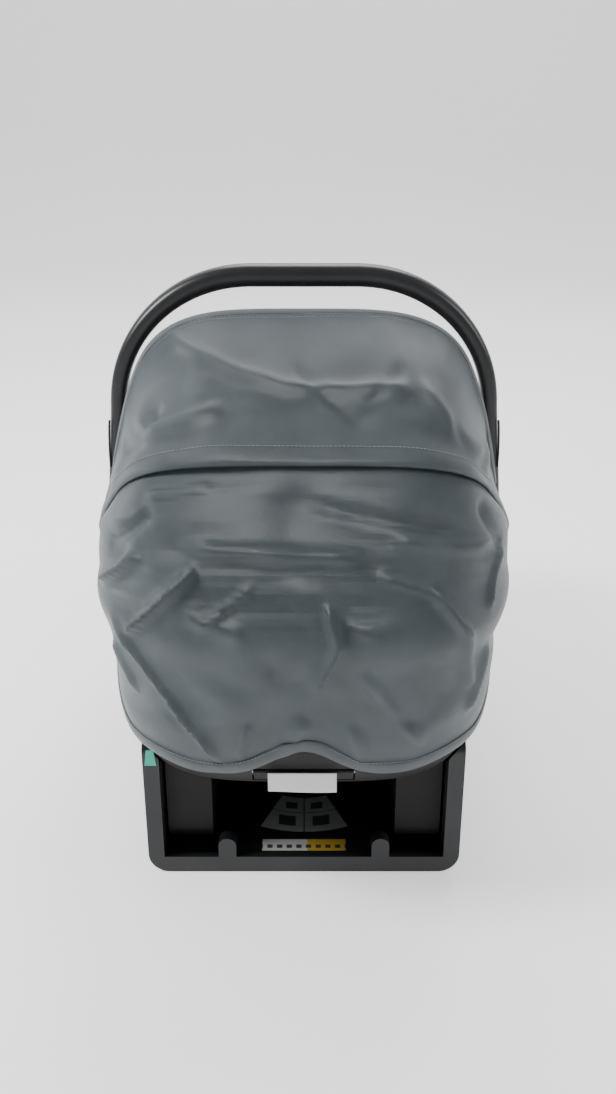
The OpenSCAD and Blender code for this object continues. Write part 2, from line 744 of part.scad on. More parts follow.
module canopy_rear_panel() {
  nv = 6;
  color(cloth) sheet_solid(panel_nu, nv,
    function(i, j) rear_pt(i / panel_nu, j / nv, 0),
    function(i, j) rear_pt(i / panel_nu, j / nv, -canopy_t));
}

// ---------------------------------------------------------------- nodes

base_shell();
latch_bars();
belt_guide(-1);  // belt_guide_left
belt_guide(1);  // belt_guide_right
belt_marker();
level_housing();
level_window();
level_ball();
anchor_strap();
anchor_connector(-1);  // anchor_connector_left
anchor_connector(1);  // anchor_connector_right
base_label_upper();
base_label_lower();
recline_foot();
recline_pin();
carrier_shell();
rocker(-1);  // rocker_left
rocker(1);  // rocker_right
hub_boss(-1);  // hub_boss_left
hub_boss(1);  // hub_boss_right
pivot_pins();
foam_liner();
seat_pad();
body_insert();
head_insert();
shoulder_straps();
hip_straps();
crotch_strap();
buckle_body();
buckle_button();
buckle_tongues();
chest_clip(-1);  // chest_clip_left
chest_clip(1);  // chest_clip_right
adjuster_housing();
adjuster_lever();
adjuster_pin();
belt_hook(-1);  // belt_hook_left
belt_hook(1);  // belt_hook_right
law_tag();
release_lever();
lever_pin();
release_cable();
latch_bracket();
latch_hooks();
latch_spring();
carry_handle();
handle_button(-1);  // handle_button_left
handle_button(1);  // handle_button_right
canopy_apron();
canopy_rear_panel();
canopy_front_panel();
canopy_mid_bow();
canopy_front_bow();
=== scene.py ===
import json
import math

import bmesh
import bpy
import numpy as np
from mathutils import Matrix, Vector

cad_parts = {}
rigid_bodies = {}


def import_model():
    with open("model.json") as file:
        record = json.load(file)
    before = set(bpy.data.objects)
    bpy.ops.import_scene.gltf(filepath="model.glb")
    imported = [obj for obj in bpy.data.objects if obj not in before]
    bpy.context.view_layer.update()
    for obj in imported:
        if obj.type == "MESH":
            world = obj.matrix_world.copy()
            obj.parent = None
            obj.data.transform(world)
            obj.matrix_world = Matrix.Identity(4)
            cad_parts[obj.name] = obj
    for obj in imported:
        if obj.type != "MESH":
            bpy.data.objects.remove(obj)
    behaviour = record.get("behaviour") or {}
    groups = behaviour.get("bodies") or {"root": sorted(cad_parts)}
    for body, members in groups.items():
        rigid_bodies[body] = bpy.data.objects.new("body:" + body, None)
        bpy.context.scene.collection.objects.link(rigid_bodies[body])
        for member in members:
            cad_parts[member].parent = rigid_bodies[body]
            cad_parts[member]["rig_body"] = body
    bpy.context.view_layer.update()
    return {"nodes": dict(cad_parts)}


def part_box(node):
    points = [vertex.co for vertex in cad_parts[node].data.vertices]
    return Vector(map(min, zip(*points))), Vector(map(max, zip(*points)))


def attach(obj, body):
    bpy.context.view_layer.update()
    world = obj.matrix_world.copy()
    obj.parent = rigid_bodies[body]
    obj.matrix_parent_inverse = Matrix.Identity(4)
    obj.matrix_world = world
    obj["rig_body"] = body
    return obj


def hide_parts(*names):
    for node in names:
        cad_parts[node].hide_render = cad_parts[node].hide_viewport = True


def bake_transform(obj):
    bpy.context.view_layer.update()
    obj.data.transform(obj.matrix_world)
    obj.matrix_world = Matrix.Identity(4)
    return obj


# Infant car seat: the carrier with its canopy and carry handle, on its vehicle base.
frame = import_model()
nodes = frame["nodes"]


# ---- Studio
# A pale floor that fills the view, a large soft key light above the left shoulder of the
# camera, a weaker fill at the right and an even sky.

def link(obj):
    bpy.context.scene.collection.objects.link(obj)
    return obj


def make_mesh(name, points, faces, uv=None):
    """A smooth-shaded mesh; uv gives each point's place on the cloth, in metres."""
    mesh = bpy.data.meshes.new(name)
    mesh.from_pydata([tuple(map(float, p)) for p in points], [], [tuple(map(int, f)) for f in faces])
    mesh.update()
    if uv is not None:
        layer = mesh.uv_layers.new(name="cloth")
        corner = np.empty(len(mesh.loops), np.int32)
        mesh.loops.foreach_get("vertex_index", corner)
        layer.data.foreach_set("uv", np.asarray(uv, np.float32)[corner].ravel())
    mesh.polygons.foreach_set("use_smooth", [True] * len(mesh.polygons))
    return link(bpy.data.objects.new(name, mesh))


class Finish:
    """A material with its nodes, made one node at a time."""

    def __init__(self, name, **settings):
        self.material = bpy.data.materials.new(name)
        self.material.use_nodes = True
        self.tree = self.material.node_tree
        self.shader = self.tree.nodes["Principled BSDF"]
        for key, value in settings.items():
            self.shader.inputs[key.replace("_", " ")].default_value = value

    def node(self, kind, settings=None, **inputs):
        made = self.tree.nodes.new("ShaderNode" + kind)
        for key, value in (settings or {}).items():
            setattr(made, key, value)
        for key, value in inputs.items():
            self.put(value, made.inputs[int(key[1:]) if key[0] == "i" and key[1:].isdigit() else key.replace("_",
                                                                                                             " ")])
        return made

    def put(self, value, socket):
        if isinstance(value, bpy.types.NodeSocket):
            self.tree.links.new(value, socket)
        else:
            socket.default_value = value

    def math(self, what, a, b=0.0):
        return self.node("Math", {"operation": what}, i0=a, i1=b).outputs[0]

    def noise(self, where, scale, detail=3.0, rough=0.5):
        return self.node("TexNoise", Vector=where, Scale=scale, Detail=detail, Roughness=rough).outputs["Fac"]

    def shade(self, amount, dark, light, low=0.3, high=0.7):
        ramp = self.node("ValToRGB", Fac=amount)
        for stop, place, colour in zip(ramp.color_ramp.elements, (low, high), (dark, light)):
            stop.position, stop.color = place, (*colour, 1)
        return ramp.outputs["Color"]

    def colour(self, source):
        self.put(source, self.shader.inputs["Base Color"])

    def relief(self, height, depth, strength):
        bump = self.node("Bump", Strength=strength, Distance=depth, Height=height)
        self.put(bump.outputs["Normal"], self.shader.inputs["Normal"])


paper = Finish("studio_floor", Roughness=0.9, Emission_Color=(1, 1, 1, 1), Emission_Strength=0.62)
place = paper.node("TexCoord").outputs["Object"]
paper.colour(paper.shade(paper.noise(place, 1.5), (0.90, 0.90, 0.90), (0.93, 0.93, 0.93)))
# flat under the seat, then curved up behind it, as (y, z)
sweep = [(-9.0, 0.0), (3.0, 0.0)]
sweep += [(3.0 + 2.0 * math.sin(a), 2.0 - 2.0 * math.cos(a)) for a in np.radians(np.arange(6, 91, 6))]
sweep.append((5.0, 9.0))
floor = make_mesh("studio_floor", [(x, y, z) for y, z in sweep for x in (-9.0, 9.0)],
                  [(2 * k, 2 * k + 1, 2 * k + 3, 2 * k + 2) for k in range(len(sweep) - 1)])
floor.data.materials.append(paper.material)

world = bpy.data.worlds.new("studio_sky")
bpy.context.scene.world = world
world.use_nodes = True
sky = world.node_tree.nodes["Background"].inputs
sky["Color"].default_value = (0.95, 0.97, 1, 1)
sky["Strength"].default_value = 0.34

for name, at, aim, size, power in [
    ("key_light", (-2.0, -0.5, 1.9), (0, 0, 0.35), 0.8, 84),
    ("fill_light", (2.1, -0.5, 1.5), (0, 0, 0.35), 1.2, 26),
    ("back_light", (0.2, 1.6, 2.4), (0, 0, 0.4), 1.6, 52),
]:
    lamp = bpy.data.lights.new(name, "AREA")
    lamp.energy, lamp.size = power, size
    lamp_object = link(bpy.data.objects.new(name, lamp))
    lamp_object.location = at
    lamp_object.rotation_euler = (Vector(aim) - Vector(at)).to_track_quat("-Z", "Y").to_euler()

camera = bpy.data.cameras.new("camera")
camera.sensor_width = 36
camera.lens = 37.84
camera_object = link(bpy.data.objects.new("camera", camera))
camera_object.location = (0.0046, -1.3202, 0.8767)
camera_object.rotation_euler = (math.radians(65.5), 0, 0)
bpy.context.scene.camera = camera_object


# ---- Base
# The hollow moulding that stays belted into the vehicle: two tall side walls that cradle the
# tub, a platform with steel bars for the latch, a belt path through the foot end and a lip with
# two posts at the head end. Cool dark grey polypropylene with a fine spark-eroded grain.

def moulded(name, dark, light, rough, grain=0.00012, shine=0.4):
    """Moulded plastic: slow tone changes, a fine grain and faint scuffs."""
    made = Finish(name, Specular_IOR_Level=shine)
    where = made.node("TexCoord").outputs["Object"]
    cloud = made.noise(where, 9.0, 3.0)
    made.colour(made.shade(cloud, dark, light))
    scuff = made.noise(made.node("Mapping", Vector=where, Scale=(60.0, 12.0, 90.0)).outputs[0], 1.0, 5.0, 0.7)
    made.put(made.math("ADD", made.math("MULTIPLY", scuff, 0.14), rough - 0.07), made.shader.inputs["Roughness"])
    made.relief(made.noise(where, 1500.0, 2.0), grain, 0.35)
    return made.material


def metal(name, colour):
    """Plated steel with fine drawing marks along X."""
    made = Finish(name, Metallic=1.0)
    where = made.node("TexCoord").outputs["Object"]
    drawn = made.noise(made.node("Mapping", Vector=where, Scale=(20.0, 700.0, 700.0)).outputs[0], 1.0, 2.0)
    made.colour(made.shade(drawn, tuple(c * 0.82 for c in colour), colour))
    made.put(made.math("ADD", made.math("MULTIPLY", drawn, 0.15), 0.32), made.shader.inputs["Roughness"])
    made.relief(drawn, 0.00005, 0.4)
    return made.material


def refinish(material, *names):
    """The CAD piece stays and gets a better finish."""
    for name in names:
        mesh = nodes[name].data
        for k in range(len(mesh.materials)):
            mesh.materials[k] = material


def finished(obj, material, *modifiers):
    """Runs the modifiers, keeps their result as a plain mesh and gives it the material."""
    for kind, settings in modifiers:
        added = obj.modifiers.new(kind.lower(), kind)
        for key, value in settings.items():
            setattr(added, key, value)
    bpy.context.view_layer.update()
    mesh = bpy.data.meshes.new_from_object(obj.evaluated_get(bpy.context.evaluated_depsgraph_get()))
    obj.modifiers.clear()
    obj.data = mesh
    mesh.materials.clear()
    mesh.materials.append(material)
    mesh.polygons.foreach_set("material_index", [0] * len(mesh.polygons))
    mesh.polygons.foreach_set("use_smooth", [True] * len(mesh.polygons))
    return obj


def eased(node, name, material, radius):
    """A moulded copy of a CAD piece with its edges rounded, in its place."""
    mesh = nodes[node].data.copy()
    obj = link(bpy.data.objects.new(name, mesh))
    work = bmesh.new()
    work.from_mesh(mesh)
    bmesh.ops.remove_doubles(work, verts=work.verts, dist=2e-5)
    bmesh.ops.dissolve_limit(work, angle_limit=math.radians(0.6), verts=work.verts, edges=work.edges)
    work.to_mesh(mesh)
    work.free()
    mesh.polygons.foreach_set("use_smooth", [True] * len(mesh.polygons))
    finished(obj, material, ("BEVEL", {"width": radius, "segments": 3, "limit_method": "ANGLE",
                                       "angle_limit": math.radians(32), "harden_normals": True,
                                       "use_clamp_overlap": True, "miter_outer": "MITER_ARC"}),
             ("WEIGHTED_NORMAL", {"mode": "FACE_AREA", "weight": 100, "keep_sharp": False}))
    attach(obj, nodes[node]["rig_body"])
    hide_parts(node)
    return obj


base_plastic = moulded("base_plastic", (0.009, 0.010, 0.011), (0.017, 0.018, 0.020), 0.38)
base = eased("base_shell", "base_moulding", base_plastic, 0.0022)
foot = eased("recline_foot", "recline_foot_moulding", base_plastic, 0.001)
steel = metal("zinc_plated_steel", (0.62, 0.63, 0.65))
refinish(steel, "latch_bars", "recline_pin", "pivot_pins", "adjuster_pin", "lever_pin", "latch_bracket",
         "latch_hooks",
         "latch_spring", "anchor_connector_left", "anchor_connector_right", "buckle_tongues")
guide_blue = moulded("belt_guide_blue", (0.02, 0.16, 0.30), (0.03, 0.21, 0.38), 0.38)
for side in ("left", "right"):
    eased("belt_guide_" + side, "belt_guide_frame_" + side, guide_blue, 0.0012)
    eased("belt_hook_" + side, "belt_hook_moulding_" + side, guide_blue, 0.0012)
tab_green = moulded("threading_tab_green", (0.03, 0.36, 0.26), (0.05, 0.46, 0.34), 0.5)
eased("belt_marker", "threading_tab", tab_green, 0.0004)
refinish(moulded("level_housing_grey", (0.10, 0.10, 0.11), (0.15, 0.15, 0.16), 0.45), "level_housing")
clear = Finish("clear_window", Roughness=0.06, IOR=1.49, Transmission_Weight=0.95)
clear_place = clear.node("TexCoord").outputs["Object"]
clear.colour(clear.shade(clear.noise(clear_place, 60.0), (0.90, 0.94, 0.96), (0.96, 0.98, 1.0)))
refinish(clear.material, "level_window")
refinish(moulded("level_ball_orange", (0.65, 0.20, 0.02), (0.80, 0.28, 0.04), 0.25), "level_ball")

# The two printed labels on the platform carry plain shapes in place of any lettering.
printed = Finish("grey_label", Roughness=0.5)
label_place = printed.node("TexCoord").outputs["Object"]
label_axes = printed.node("SeparateXYZ", Vector=label_place).outputs
flat_place = printed.node("CombineXYZ", X=label_axes[0], Y=label_axes[1]).outputs[0]
ring = printed.node("VectorMath", {"operation": "DISTANCE"}, i0=flat_place, i1=(0, -0.098, 0)).outputs["Value"]


def between(finish, value, low, high):
    return finish.math("MULTIPLY", finish.math("GREATER_THAN", value, low), finish.math("LESS_THAN", value, high))


far_x = printed.math("ABSOLUTE", label_axes[0])
ink = printed.math("MAXIMUM", printed.math("LESS_THAN", far_x, 0.0007), between(printed, ring, 0.0985, 0.0995))
block_a = printed.math("MULTIPLY", between(printed, ring, 0.106, 0.124), between(printed, far_x, 0.010, 0.030))
block_b = printed.math("MULTIPLY", between(printed, ring, 0.080, 0.092), between(printed, far_x, 0.008, 0.022))
ink = printed.math("MAXIMUM", ink, printed.math("MAXIMUM", block_a, block_b))
printed.colour(printed.node("Mix", {"data_type": "RGBA"}, i0=ink, i6=(0.34, 0.35, 0.35, 1),
                            i7=(0.05, 0.055, 0.06, 1)).outputs[2])
printed.relief(printed.noise(label_place, 700.0), 0.00003, 0.3)
refinish(printed.material, "base_label_upper")
strip = Finish("two_tone_label", Roughness=0.5)
strip_place = strip.node("TexCoord").outputs["Object"]
strip_axes = strip.node("SeparateXYZ", Vector=strip_place).outputs
right_half = strip.math("GREATER_THAN", strip_axes[0], 0.004)
repeat = strip.math("FRACT", strip.math("MULTIPLY", strip_axes[0], 90.0))
bars = strip.math("MULTIPLY", between(strip, repeat, 0.2, 0.75), between(strip, strip_axes[1], -0.2615, -0.2555))
ground = strip.node("Mix", {"data_type": "RGBA"}, i0=right_half, i6=(0.62, 0.62, 0.60, 1),
                    i7=(0.62, 0.42, 0.05, 1)).outputs[2]
strip.colour(strip.node("Mix", {"data_type": "RGBA"}, i0=bars, i6=ground, i7=(0.06, 0.06, 0.06, 1)).outputs[2])
strip.relief(strip.noise(strip_place, 700.0), 0.00003, 0.3)
refinish(strip.material, "base_label_lower")


# ---- Carrier tub
# One deep injection-moulded shell in warm black plastic. Its rim dips beside the child's hips
# and a rolled bead stiffens it. Everything soft is laid in it or pulled over it.

RIM_HALF_W, RIM_HALF_L, RIM_MIDDLE = 0.204, 0.342, -0.012
SHELL_LOW = 0.060


def power(v, n):
    return np.sign(v) * np.abs(v) ** n


def ease(t):
    c = np.clip(t, 0, 1)
    return c * c * (3 - 2 * c)


def rim_z(y):
    head_to_hip = 0.330 - 0.012 * ease((y + 0.220) / 0.175) - 0.052 * ease((y + 0.045) / 0.190)
    return head_to_hip + 0.030 * ease((y - 0.190) / 0.130)


def under_z(y):
    head = SHELL_LOW + 0.056 * np.clip((0.060 - y) / 0.380, 0, None) ** 1.3
    foot = SHELL_LOW + 0.040 * ((y - 0.060) / 0.250) ** 2
    return np.where(y < 0.060, head, foot)


def bowl_at(angle, q, inset):
    """Points of the bowl: angle goes round the rim, q from 1 at the rim to 0 at the bottom."""
    x = q * (RIM_HALF_W - inset) * power(np.cos(angle), 0.5)
    y = RIM_MIDDLE + q * (RIM_HALF_L - inset) * power(np.sin(angle), 0.5)
    return np.stack([x, y, bowl_height(q, y, inset)], -1)


def bowl_height(q, y, inset):
    top = rim_z(y)
    return top - np.clip(1 - np.clip(q, 0, 1) ** 5, 0, None) ** 0.2 * (top - under_z(y) - inset)


def bowl_over(x, y, inset):
    """Height of the bowl over a place on the floor plan."""
    q = ((np.abs(x) / (RIM_HALF_W - inset)) ** 4 + (np.abs(y - RIM_MIDDLE) / (RIM_HALF_L - inset)) ** 4) ** 0.25
    return bowl_height(q, y, inset)


def resample(line, count):
    """The same line with its points evenly spaced."""
    line = np.asarray(line, float)
    run = np.concatenate([[0], np.cumsum(np.linalg.norm(np.diff(line, axis=0), axis=1))])
    at = np.linspace(0, run[-1], count)
    return np.stack([np.interp(at, run, line[:, k]) for k in range(line.shape[1])], -1)


def grid_faces(rows, columns, closed=False):
    last = columns if closed else columns - 1
    return [(r * columns + c, r * columns + (c + 1) % columns, (r + 1) * columns + (c + 1) % columns,
             (r + 1) * columns + c)
            for r in range(rows - 1) for c in range(last)]


def thick(depth, offset=-1.0):
    return ("SOLIDIFY", {"thickness": depth, "offset": offset, "use_even_offset": True})


ALL_ROUND = np.linspace(0, 2 * math.pi, 3001)


def bowl_ring(q, inset, columns):
    """One closed ring of the bowl, with evenly spaced points."""
    return resample(bowl_at(ALL_ROUND, q, inset), columns + 1)[:-1]


def open_sheet(obj, middle=None):
    """Makes the faces of an open sheet agree, and turns them away from a point behind it."""
    work = bmesh.new()
    work.from_mesh(obj.data)
    bmesh.ops.recalc_face_normals(work, faces=work.faces)
    if middle and sum((f.calc_center_median() - Vector(middle)).dot(f.normal) for f in work.faces) < 0:
        bmesh.ops.reverse_faces(work, faces=work.faces)
    work.to_mesh(obj.data)
    work.free()
    return obj


# rings from the rim down to the bottom, closest together at the rim
TUB_RINGS, TUB_COLUMNS = 44, 240
ring_sizes = [max(math.sin(math.pi / 2 * (1 - (k / (TUB_RINGS - 1)) ** 1.6)), 0.012) for k in range(TUB_RINGS)]
tub_grid = np.array([bowl_ring(q, 0.0, TUB_COLUMNS) for q in ring_sizes])
rim_loop = tub_grid[0]
middle = rim_loop.mean(0) * np.array([1, 1, 0])
out_dir = (rim_loop - middle) * np.array([1, 1, 0])
out_dir /= np.linalg.norm(out_dir, axis=1, keepdims=True)
bead = [rim_loop + out_dir * dx + np.array([0, 0, dz]) for dx, dz in
        [(0.0, 0.0012), (0.0016, 0.0004), (0.0024, -0.0022), (0.0018, -0.0050), (0.0002, -0.0066)]]
below = [ring for ring in tub_grid if (rim_loop[:, 2] - ring[:, 2]).min() > 0.0085]
tub_grid = np.array(bead + below)
tub_faces = grid_faces(len(tub_grid), TUB_COLUMNS, closed=True)
floor_ring = (len(tub_grid) - 1) * TUB_COLUMNS
tub_faces.append(tuple(floor_ring + k for k in range(TUB_COLUMNS)))
shell_plastic = moulded("shell_plastic", (0.0060, 0.0054, 0.0050), (0.0115, 0.0104, 0.0096), 0.54, 0.0002,
                        shine=0.22)
tub = open_sheet(make_mesh("carrier_tub", tub_grid.reshape(-1, 3), tub_faces), (0, 0, 0.30))
finished(tub, shell_plastic, thick(0.0038))

# the opening for the release lever
LEVER_AT, LEVER_SLOPE, LEVER_HALF, LEVER_LONG = (-0.337, 0.175), math.radians(38.7), 0.0535, 0.0305
bpy.ops.mesh.primitive_cube_add(size=1)
cutter = bpy.context.object
low, high = (-LEVER_HALF, -0.020, -LEVER_LONG), (LEVER_HALF, 0.0085, 0.005)
for v in cutter.data.vertices:
    x, y, z = (lo if c < 0 else hi for c, lo, hi in zip(v.co, low, high))
    v.co = (x, LEVER_AT[0] + y * math.cos(LEVER_SLOPE) - z * math.sin(LEVER_SLOPE),
            LEVER_AT[1] + y * math.sin(LEVER_SLOPE) + z * math.cos(LEVER_SLOPE))
finished(tub, shell_plastic, ("BOOLEAN", {"operation": "DIFFERENCE", "object": cutter, "solver": "EXACT"}))
bpy.data.objects.remove(cutter)
tub.data.set_sharp_from_angle(angle=math.radians(45))
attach(tub, "carrier")
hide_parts("carrier_shell")
for node, name, radius in [("rocker_left", "rocker_rail_left", 0.004), ("rocker_right", "rocker_rail_right", 0.004),
                           ("hub_boss_left", "hub_boss_moulding_left", 0.001),
                           ("hub_boss_right", "hub_boss_moulding_right", 0.001),
                           ("release_lever", "release_lever_moulding", 0.001),
                           ("adjuster_housing", "adjuster_housing_moulding", 0.0012),
                           ("buckle_body", "buckle_moulding", 0.0025),
                           ("chest_clip_left", "chest_clip_moulding_left", 0.0018),
                           ("chest_clip_right", "chest_clip_moulding_right", 0.0018)]:
    eased(node, name, shell_plastic, radius)
button_red = moulded("button_red", (0.42, 0.012, 0.010), (0.55, 0.02, 0.015), 0.3)
eased("buckle_button", "buckle_button_moulding", button_red, 0.0014)
lever_grey = moulded("button_grey", (0.10, 0.105, 0.11), (0.15, 0.155, 0.16), 0.4)
eased("adjuster_lever", "adjuster_lever_moulding", lever_grey, 0.001)

foam = Finish("foam_liner", Roughness=0.85)
beads = foam.node("TexVoronoi", Vector=foam.node("TexCoord").outputs["Object"], Scale=280.0).outputs["Distance"]
foam.colour(foam.shade(beads, (0.86, 0.86, 0.84), (0.70, 0.70, 0.68), 0.2, 0.9))
foam.relief(beads, 0.0006, 0.5)
refinish(foam.material, "foam_liner")
rubber = moulded("cable_sheath", (0.010, 0.010, 0.010), (0.018, 0.018, 0.018), 0.6)
refinish(rubber, "release_cable")
refinish(moulded("bow_plastic", (0.012, 0.012, 0.013), (0.020, 0.020, 0.022), 0.5), "canopy_mid_bow",
         "canopy_front_bow")


# ---- White cloth tag
# A satin tag sewn under the hem, which hangs over the head end's lower edge. It is left blank.

def grid_uv(grid):
    """Distances along and across the sheet, in metres, so that a weave keeps its size."""
    across = np.concatenate([np.zeros((len(grid), 1)), np.cumsum(np.linalg.norm(np.diff(grid, axis=1), axis=2), 1)],
                            1)
    along = np.concatenate([np.zeros((1, grid.shape[1])),
                            np.cumsum(np.linalg.norm(np.diff(grid, axis=0), axis=2), 0)], 0)
    across -= across.mean(1, keepdims=True)
    return np.stack([across, along.mean(1, keepdims=True) + 0 * along], -1).reshape(-1, 2)


tag_low, tag_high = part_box("law_tag")
across = np.linspace(tag_low.x + 0.001, tag_high.x - 0.001, 25)
down = np.linspace(tag_high.z, tag_low.z, 13)
tag_grid = np.array([[(x, tag_low.y - 0.0012 * math.sin(7 + 55 * x) * ease((tag_high.z - z) / 0.02) - 0.0006, z)
                      for x in across] for z in down])
tag_cloth = Finish("tag_satin", Roughness=0.55)
tag_map = tag_cloth.node("UVMap").outputs[0]
satin = tag_cloth.node("TexWave", {"bands_direction": "X"}, Vector=tag_map, Scale=700.0,
                       Distortion=1.5).outputs["Fac"]
tag_cloth.colour(tag_cloth.shade(satin, (0.62, 0.62, 0.61), (0.76, 0.76, 0.75)))
tag_cloth.relief(satin, 0.0002, 0.3)
tag = make_mesh("cloth_tag", tag_grid.reshape(-1, 3), grid_faces(len(down), len(across)), grid_uv(tag_grid))
finished(tag, tag_cloth.material, thick(0.0006, 0.0))
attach(tag, "carrier")
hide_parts("law_tag")


# ---- Canopy
# Slate blue-green twill sewn over two bows. The front panel laps over the rear panel in a rolled
# lip at the mid bow, its front edge is bound and stitched, and the rear panel runs down over the
# shell's head end to a hem. The cloth is eased over the bows, so it keeps soft folds.

HUB = np.array([0, -0.045, 0.295])
CLOTH_HALF_W, CLOTH_R, CLOTH_R0 = 0.203, 0.301, 0.030
MID_BOW, FRONT_BOW = -49.0, -9.0
COLUMNS, FRONT_ROWS, REAR_ROWS, APRON_ROWS = 221, 42, 34, 26
APRON_GAP = 0.0055
CLOTH_MIDDLE = np.array([0, 0.0, 0.28])


def outward_normals(grid, middle):
    """The sheet's normals, on the side away from a point behind it."""
    normal = np.cross(np.gradient(grid, axis=1), np.gradient(grid, axis=0))
    normal /= np.linalg.norm(normal, axis=2, keepdims=True) + 1e-12
    return normal * np.sign((normal * (grid - middle)).sum(2, keepdims=True))


def bow_line(angle, grow, flare, tail=0.0):
    """The cloth's line over a bow, from left to right, at an angle from upright."""
    t = np.radians(np.linspace(177, 3, 1501))
    x = (CLOTH_HALF_W + grow) * power(np.cos(t), 0.5)
    r = CLOTH_R0 + (CLOTH_R + grow - CLOTH_R0) * power(np.sin(t), 0.5)
    low = 1 - ease((r - 0.05) / 0.19)
    x = x + np.sign(x) * flare * low
    a = math.radians(angle)
    line = np.stack([x, HUB[1] + r * math.sin(a), HUB[2] + r * math.cos(a)], -1)
    if tail:
        first = line[0] + np.linspace(1, 0, 40, endpoint=False)[:, None] * np.array([0.002, 0.004, -tail])
        last = line[-1] + np.linspace(0, 1, 41)[1:, None] * np.array([-0.002, 0.004, -tail])
        line = np.concatenate([first, line, last])
    return line


def apron_line(v, gap):
    """The cloth round the shell's head end, from the rim (v = 0) down to the hem (v = 1)."""
    angle = np.radians(-np.linspace(173.5, 6.5, 1501))
    x, y = bowl_at(angle, 1.0, 0)[:, :2].T
    hem = 0.186 + 0.032 * np.exp(-(x / 0.045) ** 2) + 0.010 * ease((np.abs(x) - 0.10) / 0.06)
    hem = hem + 0.092 * ease((y + 0.300) / 0.230)
    drop = v * (rim_z(y) - hem) / (rim_z(y) - under_z(y))
    line = bowl_at(angle, (1 - np.clip(drop, 0, 1) ** 5) ** 0.2, -gap)
    line[:, 2] += gap * (1 - v)
    return line


def soft_fold(grid, normals, start, end, width, height):
    """Pushes the cloth along a line between two places, seen from the head end as (x, z)."""
    a, b = np.array(start), np.array(end)
    flat = grid[..., [0, 2]]
    way = b - a
    along = ((flat - a) @ way) / (way @ way)
    away = np.abs((flat[..., 0] - a[0]) * way[1] - (flat[..., 1] - a[1]) * way[0]) / np.linalg.norm(way)
    taper = ease(along / 0.25 + 0.5) * ease((1 - along) / 0.25 + 0.5)
    return normals * (1.9 * height * taper * np.exp(-(away / width) ** 2) / (1 + (away / width) ** 2))[..., None]


def ripple(grid, across, along, height, phase):
    """Slow waves from easing the cloth in, seen from the head end."""
    x, z = grid[..., 0], grid[..., 2]
    wander = 1.7 * np.sin(z * along + phase)
    return height * np.sin(x * across + wander + phase) * np.sin(z * along * 0.7 + x * across * 0.31 + 2 * phase)


# front panel: from the bound front edge back to the rolled lip
turns = np.linspace(FRONT_BOW + 1.2, MID_BOW - 1.2, FRONT_ROWS)
rows = []
for angle in turns:
    back = (angle - turns[0]) / (turns[-1] - turns[0])
    sag = -0.004 * math.sin(math.pi * min(1, back * 1.05))
    flare = 0.022 + 0.008 * ease(back)
    tail = 0.004 + 0.026 * ease((back - 0.3) / 0.7)
    lap = 0.0035 * ease((back - 0.85) / 0.15)
    rows.append(resample(bow_line(angle, sag + 0.0015 + lap, flare, tail), COLUMNS))
front = np.array(rows)
outward = outward_normals(front, np.array([0, -0.02, 0.30]))
free = np.sin(np.pi * np.linspace(0, 1, len(front)))[:, None] ** 0.6
waves = ripple(front, 26, 31, 0.0034, 0.4) + ripple(front, 47, 22, 0.0019, 2.1) + ripple(front, 73, 61, 0.0013, 0.9)
change = outward * (free * waves)[..., None]
for start, end, width, height in [
    ((-0.14, 0.572), (-0.02, 0.545), 0.008, 0.0045), ((-0.02, 0.545), (0.10, 0.541), 0.007, 0.0045),
    ((-0.01, 0.560), (0.05, 0.520), 0.008, -0.0020), ((0.05, 0.520), (0.10, 0.555), 0.008, -0.0018),
    ((-0.17, 0.50), (-0.08, 0.53), 0.009, 0.0045), ((0.12, 0.54), (0.185, 0.47), 0.009, 0.0045),
    ((-0.20, 0.45), (-0.15, 0.52), 0.007, -0.0035), ((0.15, 0.51), (0.205, 0.43), 0.006, -0.0035),
    ((-0.205, 0.40), (-0.19, 0.47), 0.006, 0.004), ((0.19, 0.47), (0.208, 0.38), 0.006, 0.004),
]:
    change += soft_fold(front, outward, start, end, width, height) * free[..., None]
front += change
# the lip rolls under at its back edge
roll = [front[-1] + outward[-1] * -0.0022 + (front[-1] - front[-2]) * 0.35,
        front[-1] + outward[-1] * -0.0050 + (front[-1] - front[-2]) * 0.05,
        front[-1] + outward[-1] * -0.0058 - (front[-1] - front[-2]) * 0.7]
front = np.concatenate([front, np.array(roll)])

# rear panel: under the lip, down over the shell's head end to the hem
rows = []
top_line = resample(bow_line(MID_BOW + 2.2, -0.0020, 0.012), COLUMNS)
rim_line = resample(apron_line(0, APRON_GAP), COLUMNS)
rim_line[:, 2] += 0.0015
sideways = np.clip((np.abs(rim_line[:, 0]) - 0.10) / 0.10, 0, 1)
for v in np.linspace(0, 1, REAR_ROWS):
    line = top_line + (rim_line - top_line) * v
    crown = 4 * v * (1 - v) * np.sin(np.pi * np.linspace(0, 1, COLUMNS))
    line = line + np.array([0, -0.75, 0.65]) * (0.010 * crown)[:, None]
    wide = 0.013 * sideways * ease(v / 0.35) * (1 - 0.35 * ease((v - 0.6) / 0.4))
    line[:, 0] += np.sign(line[:, 0]) * wide
    rows.append(line)
lower = [resample(apron_line(v, APRON_GAP), COLUMNS) for v in np.linspace(0, 1, APRON_ROWS)[1:]]
for k, line in enumerate(lower):
    fade = 1 - ease((k + 1) / 14)
    line[:, 0] += np.sign(line[:, 0]) * 0.0085 * sideways * fade
    rows.append(line)
rear = np.array(rows)
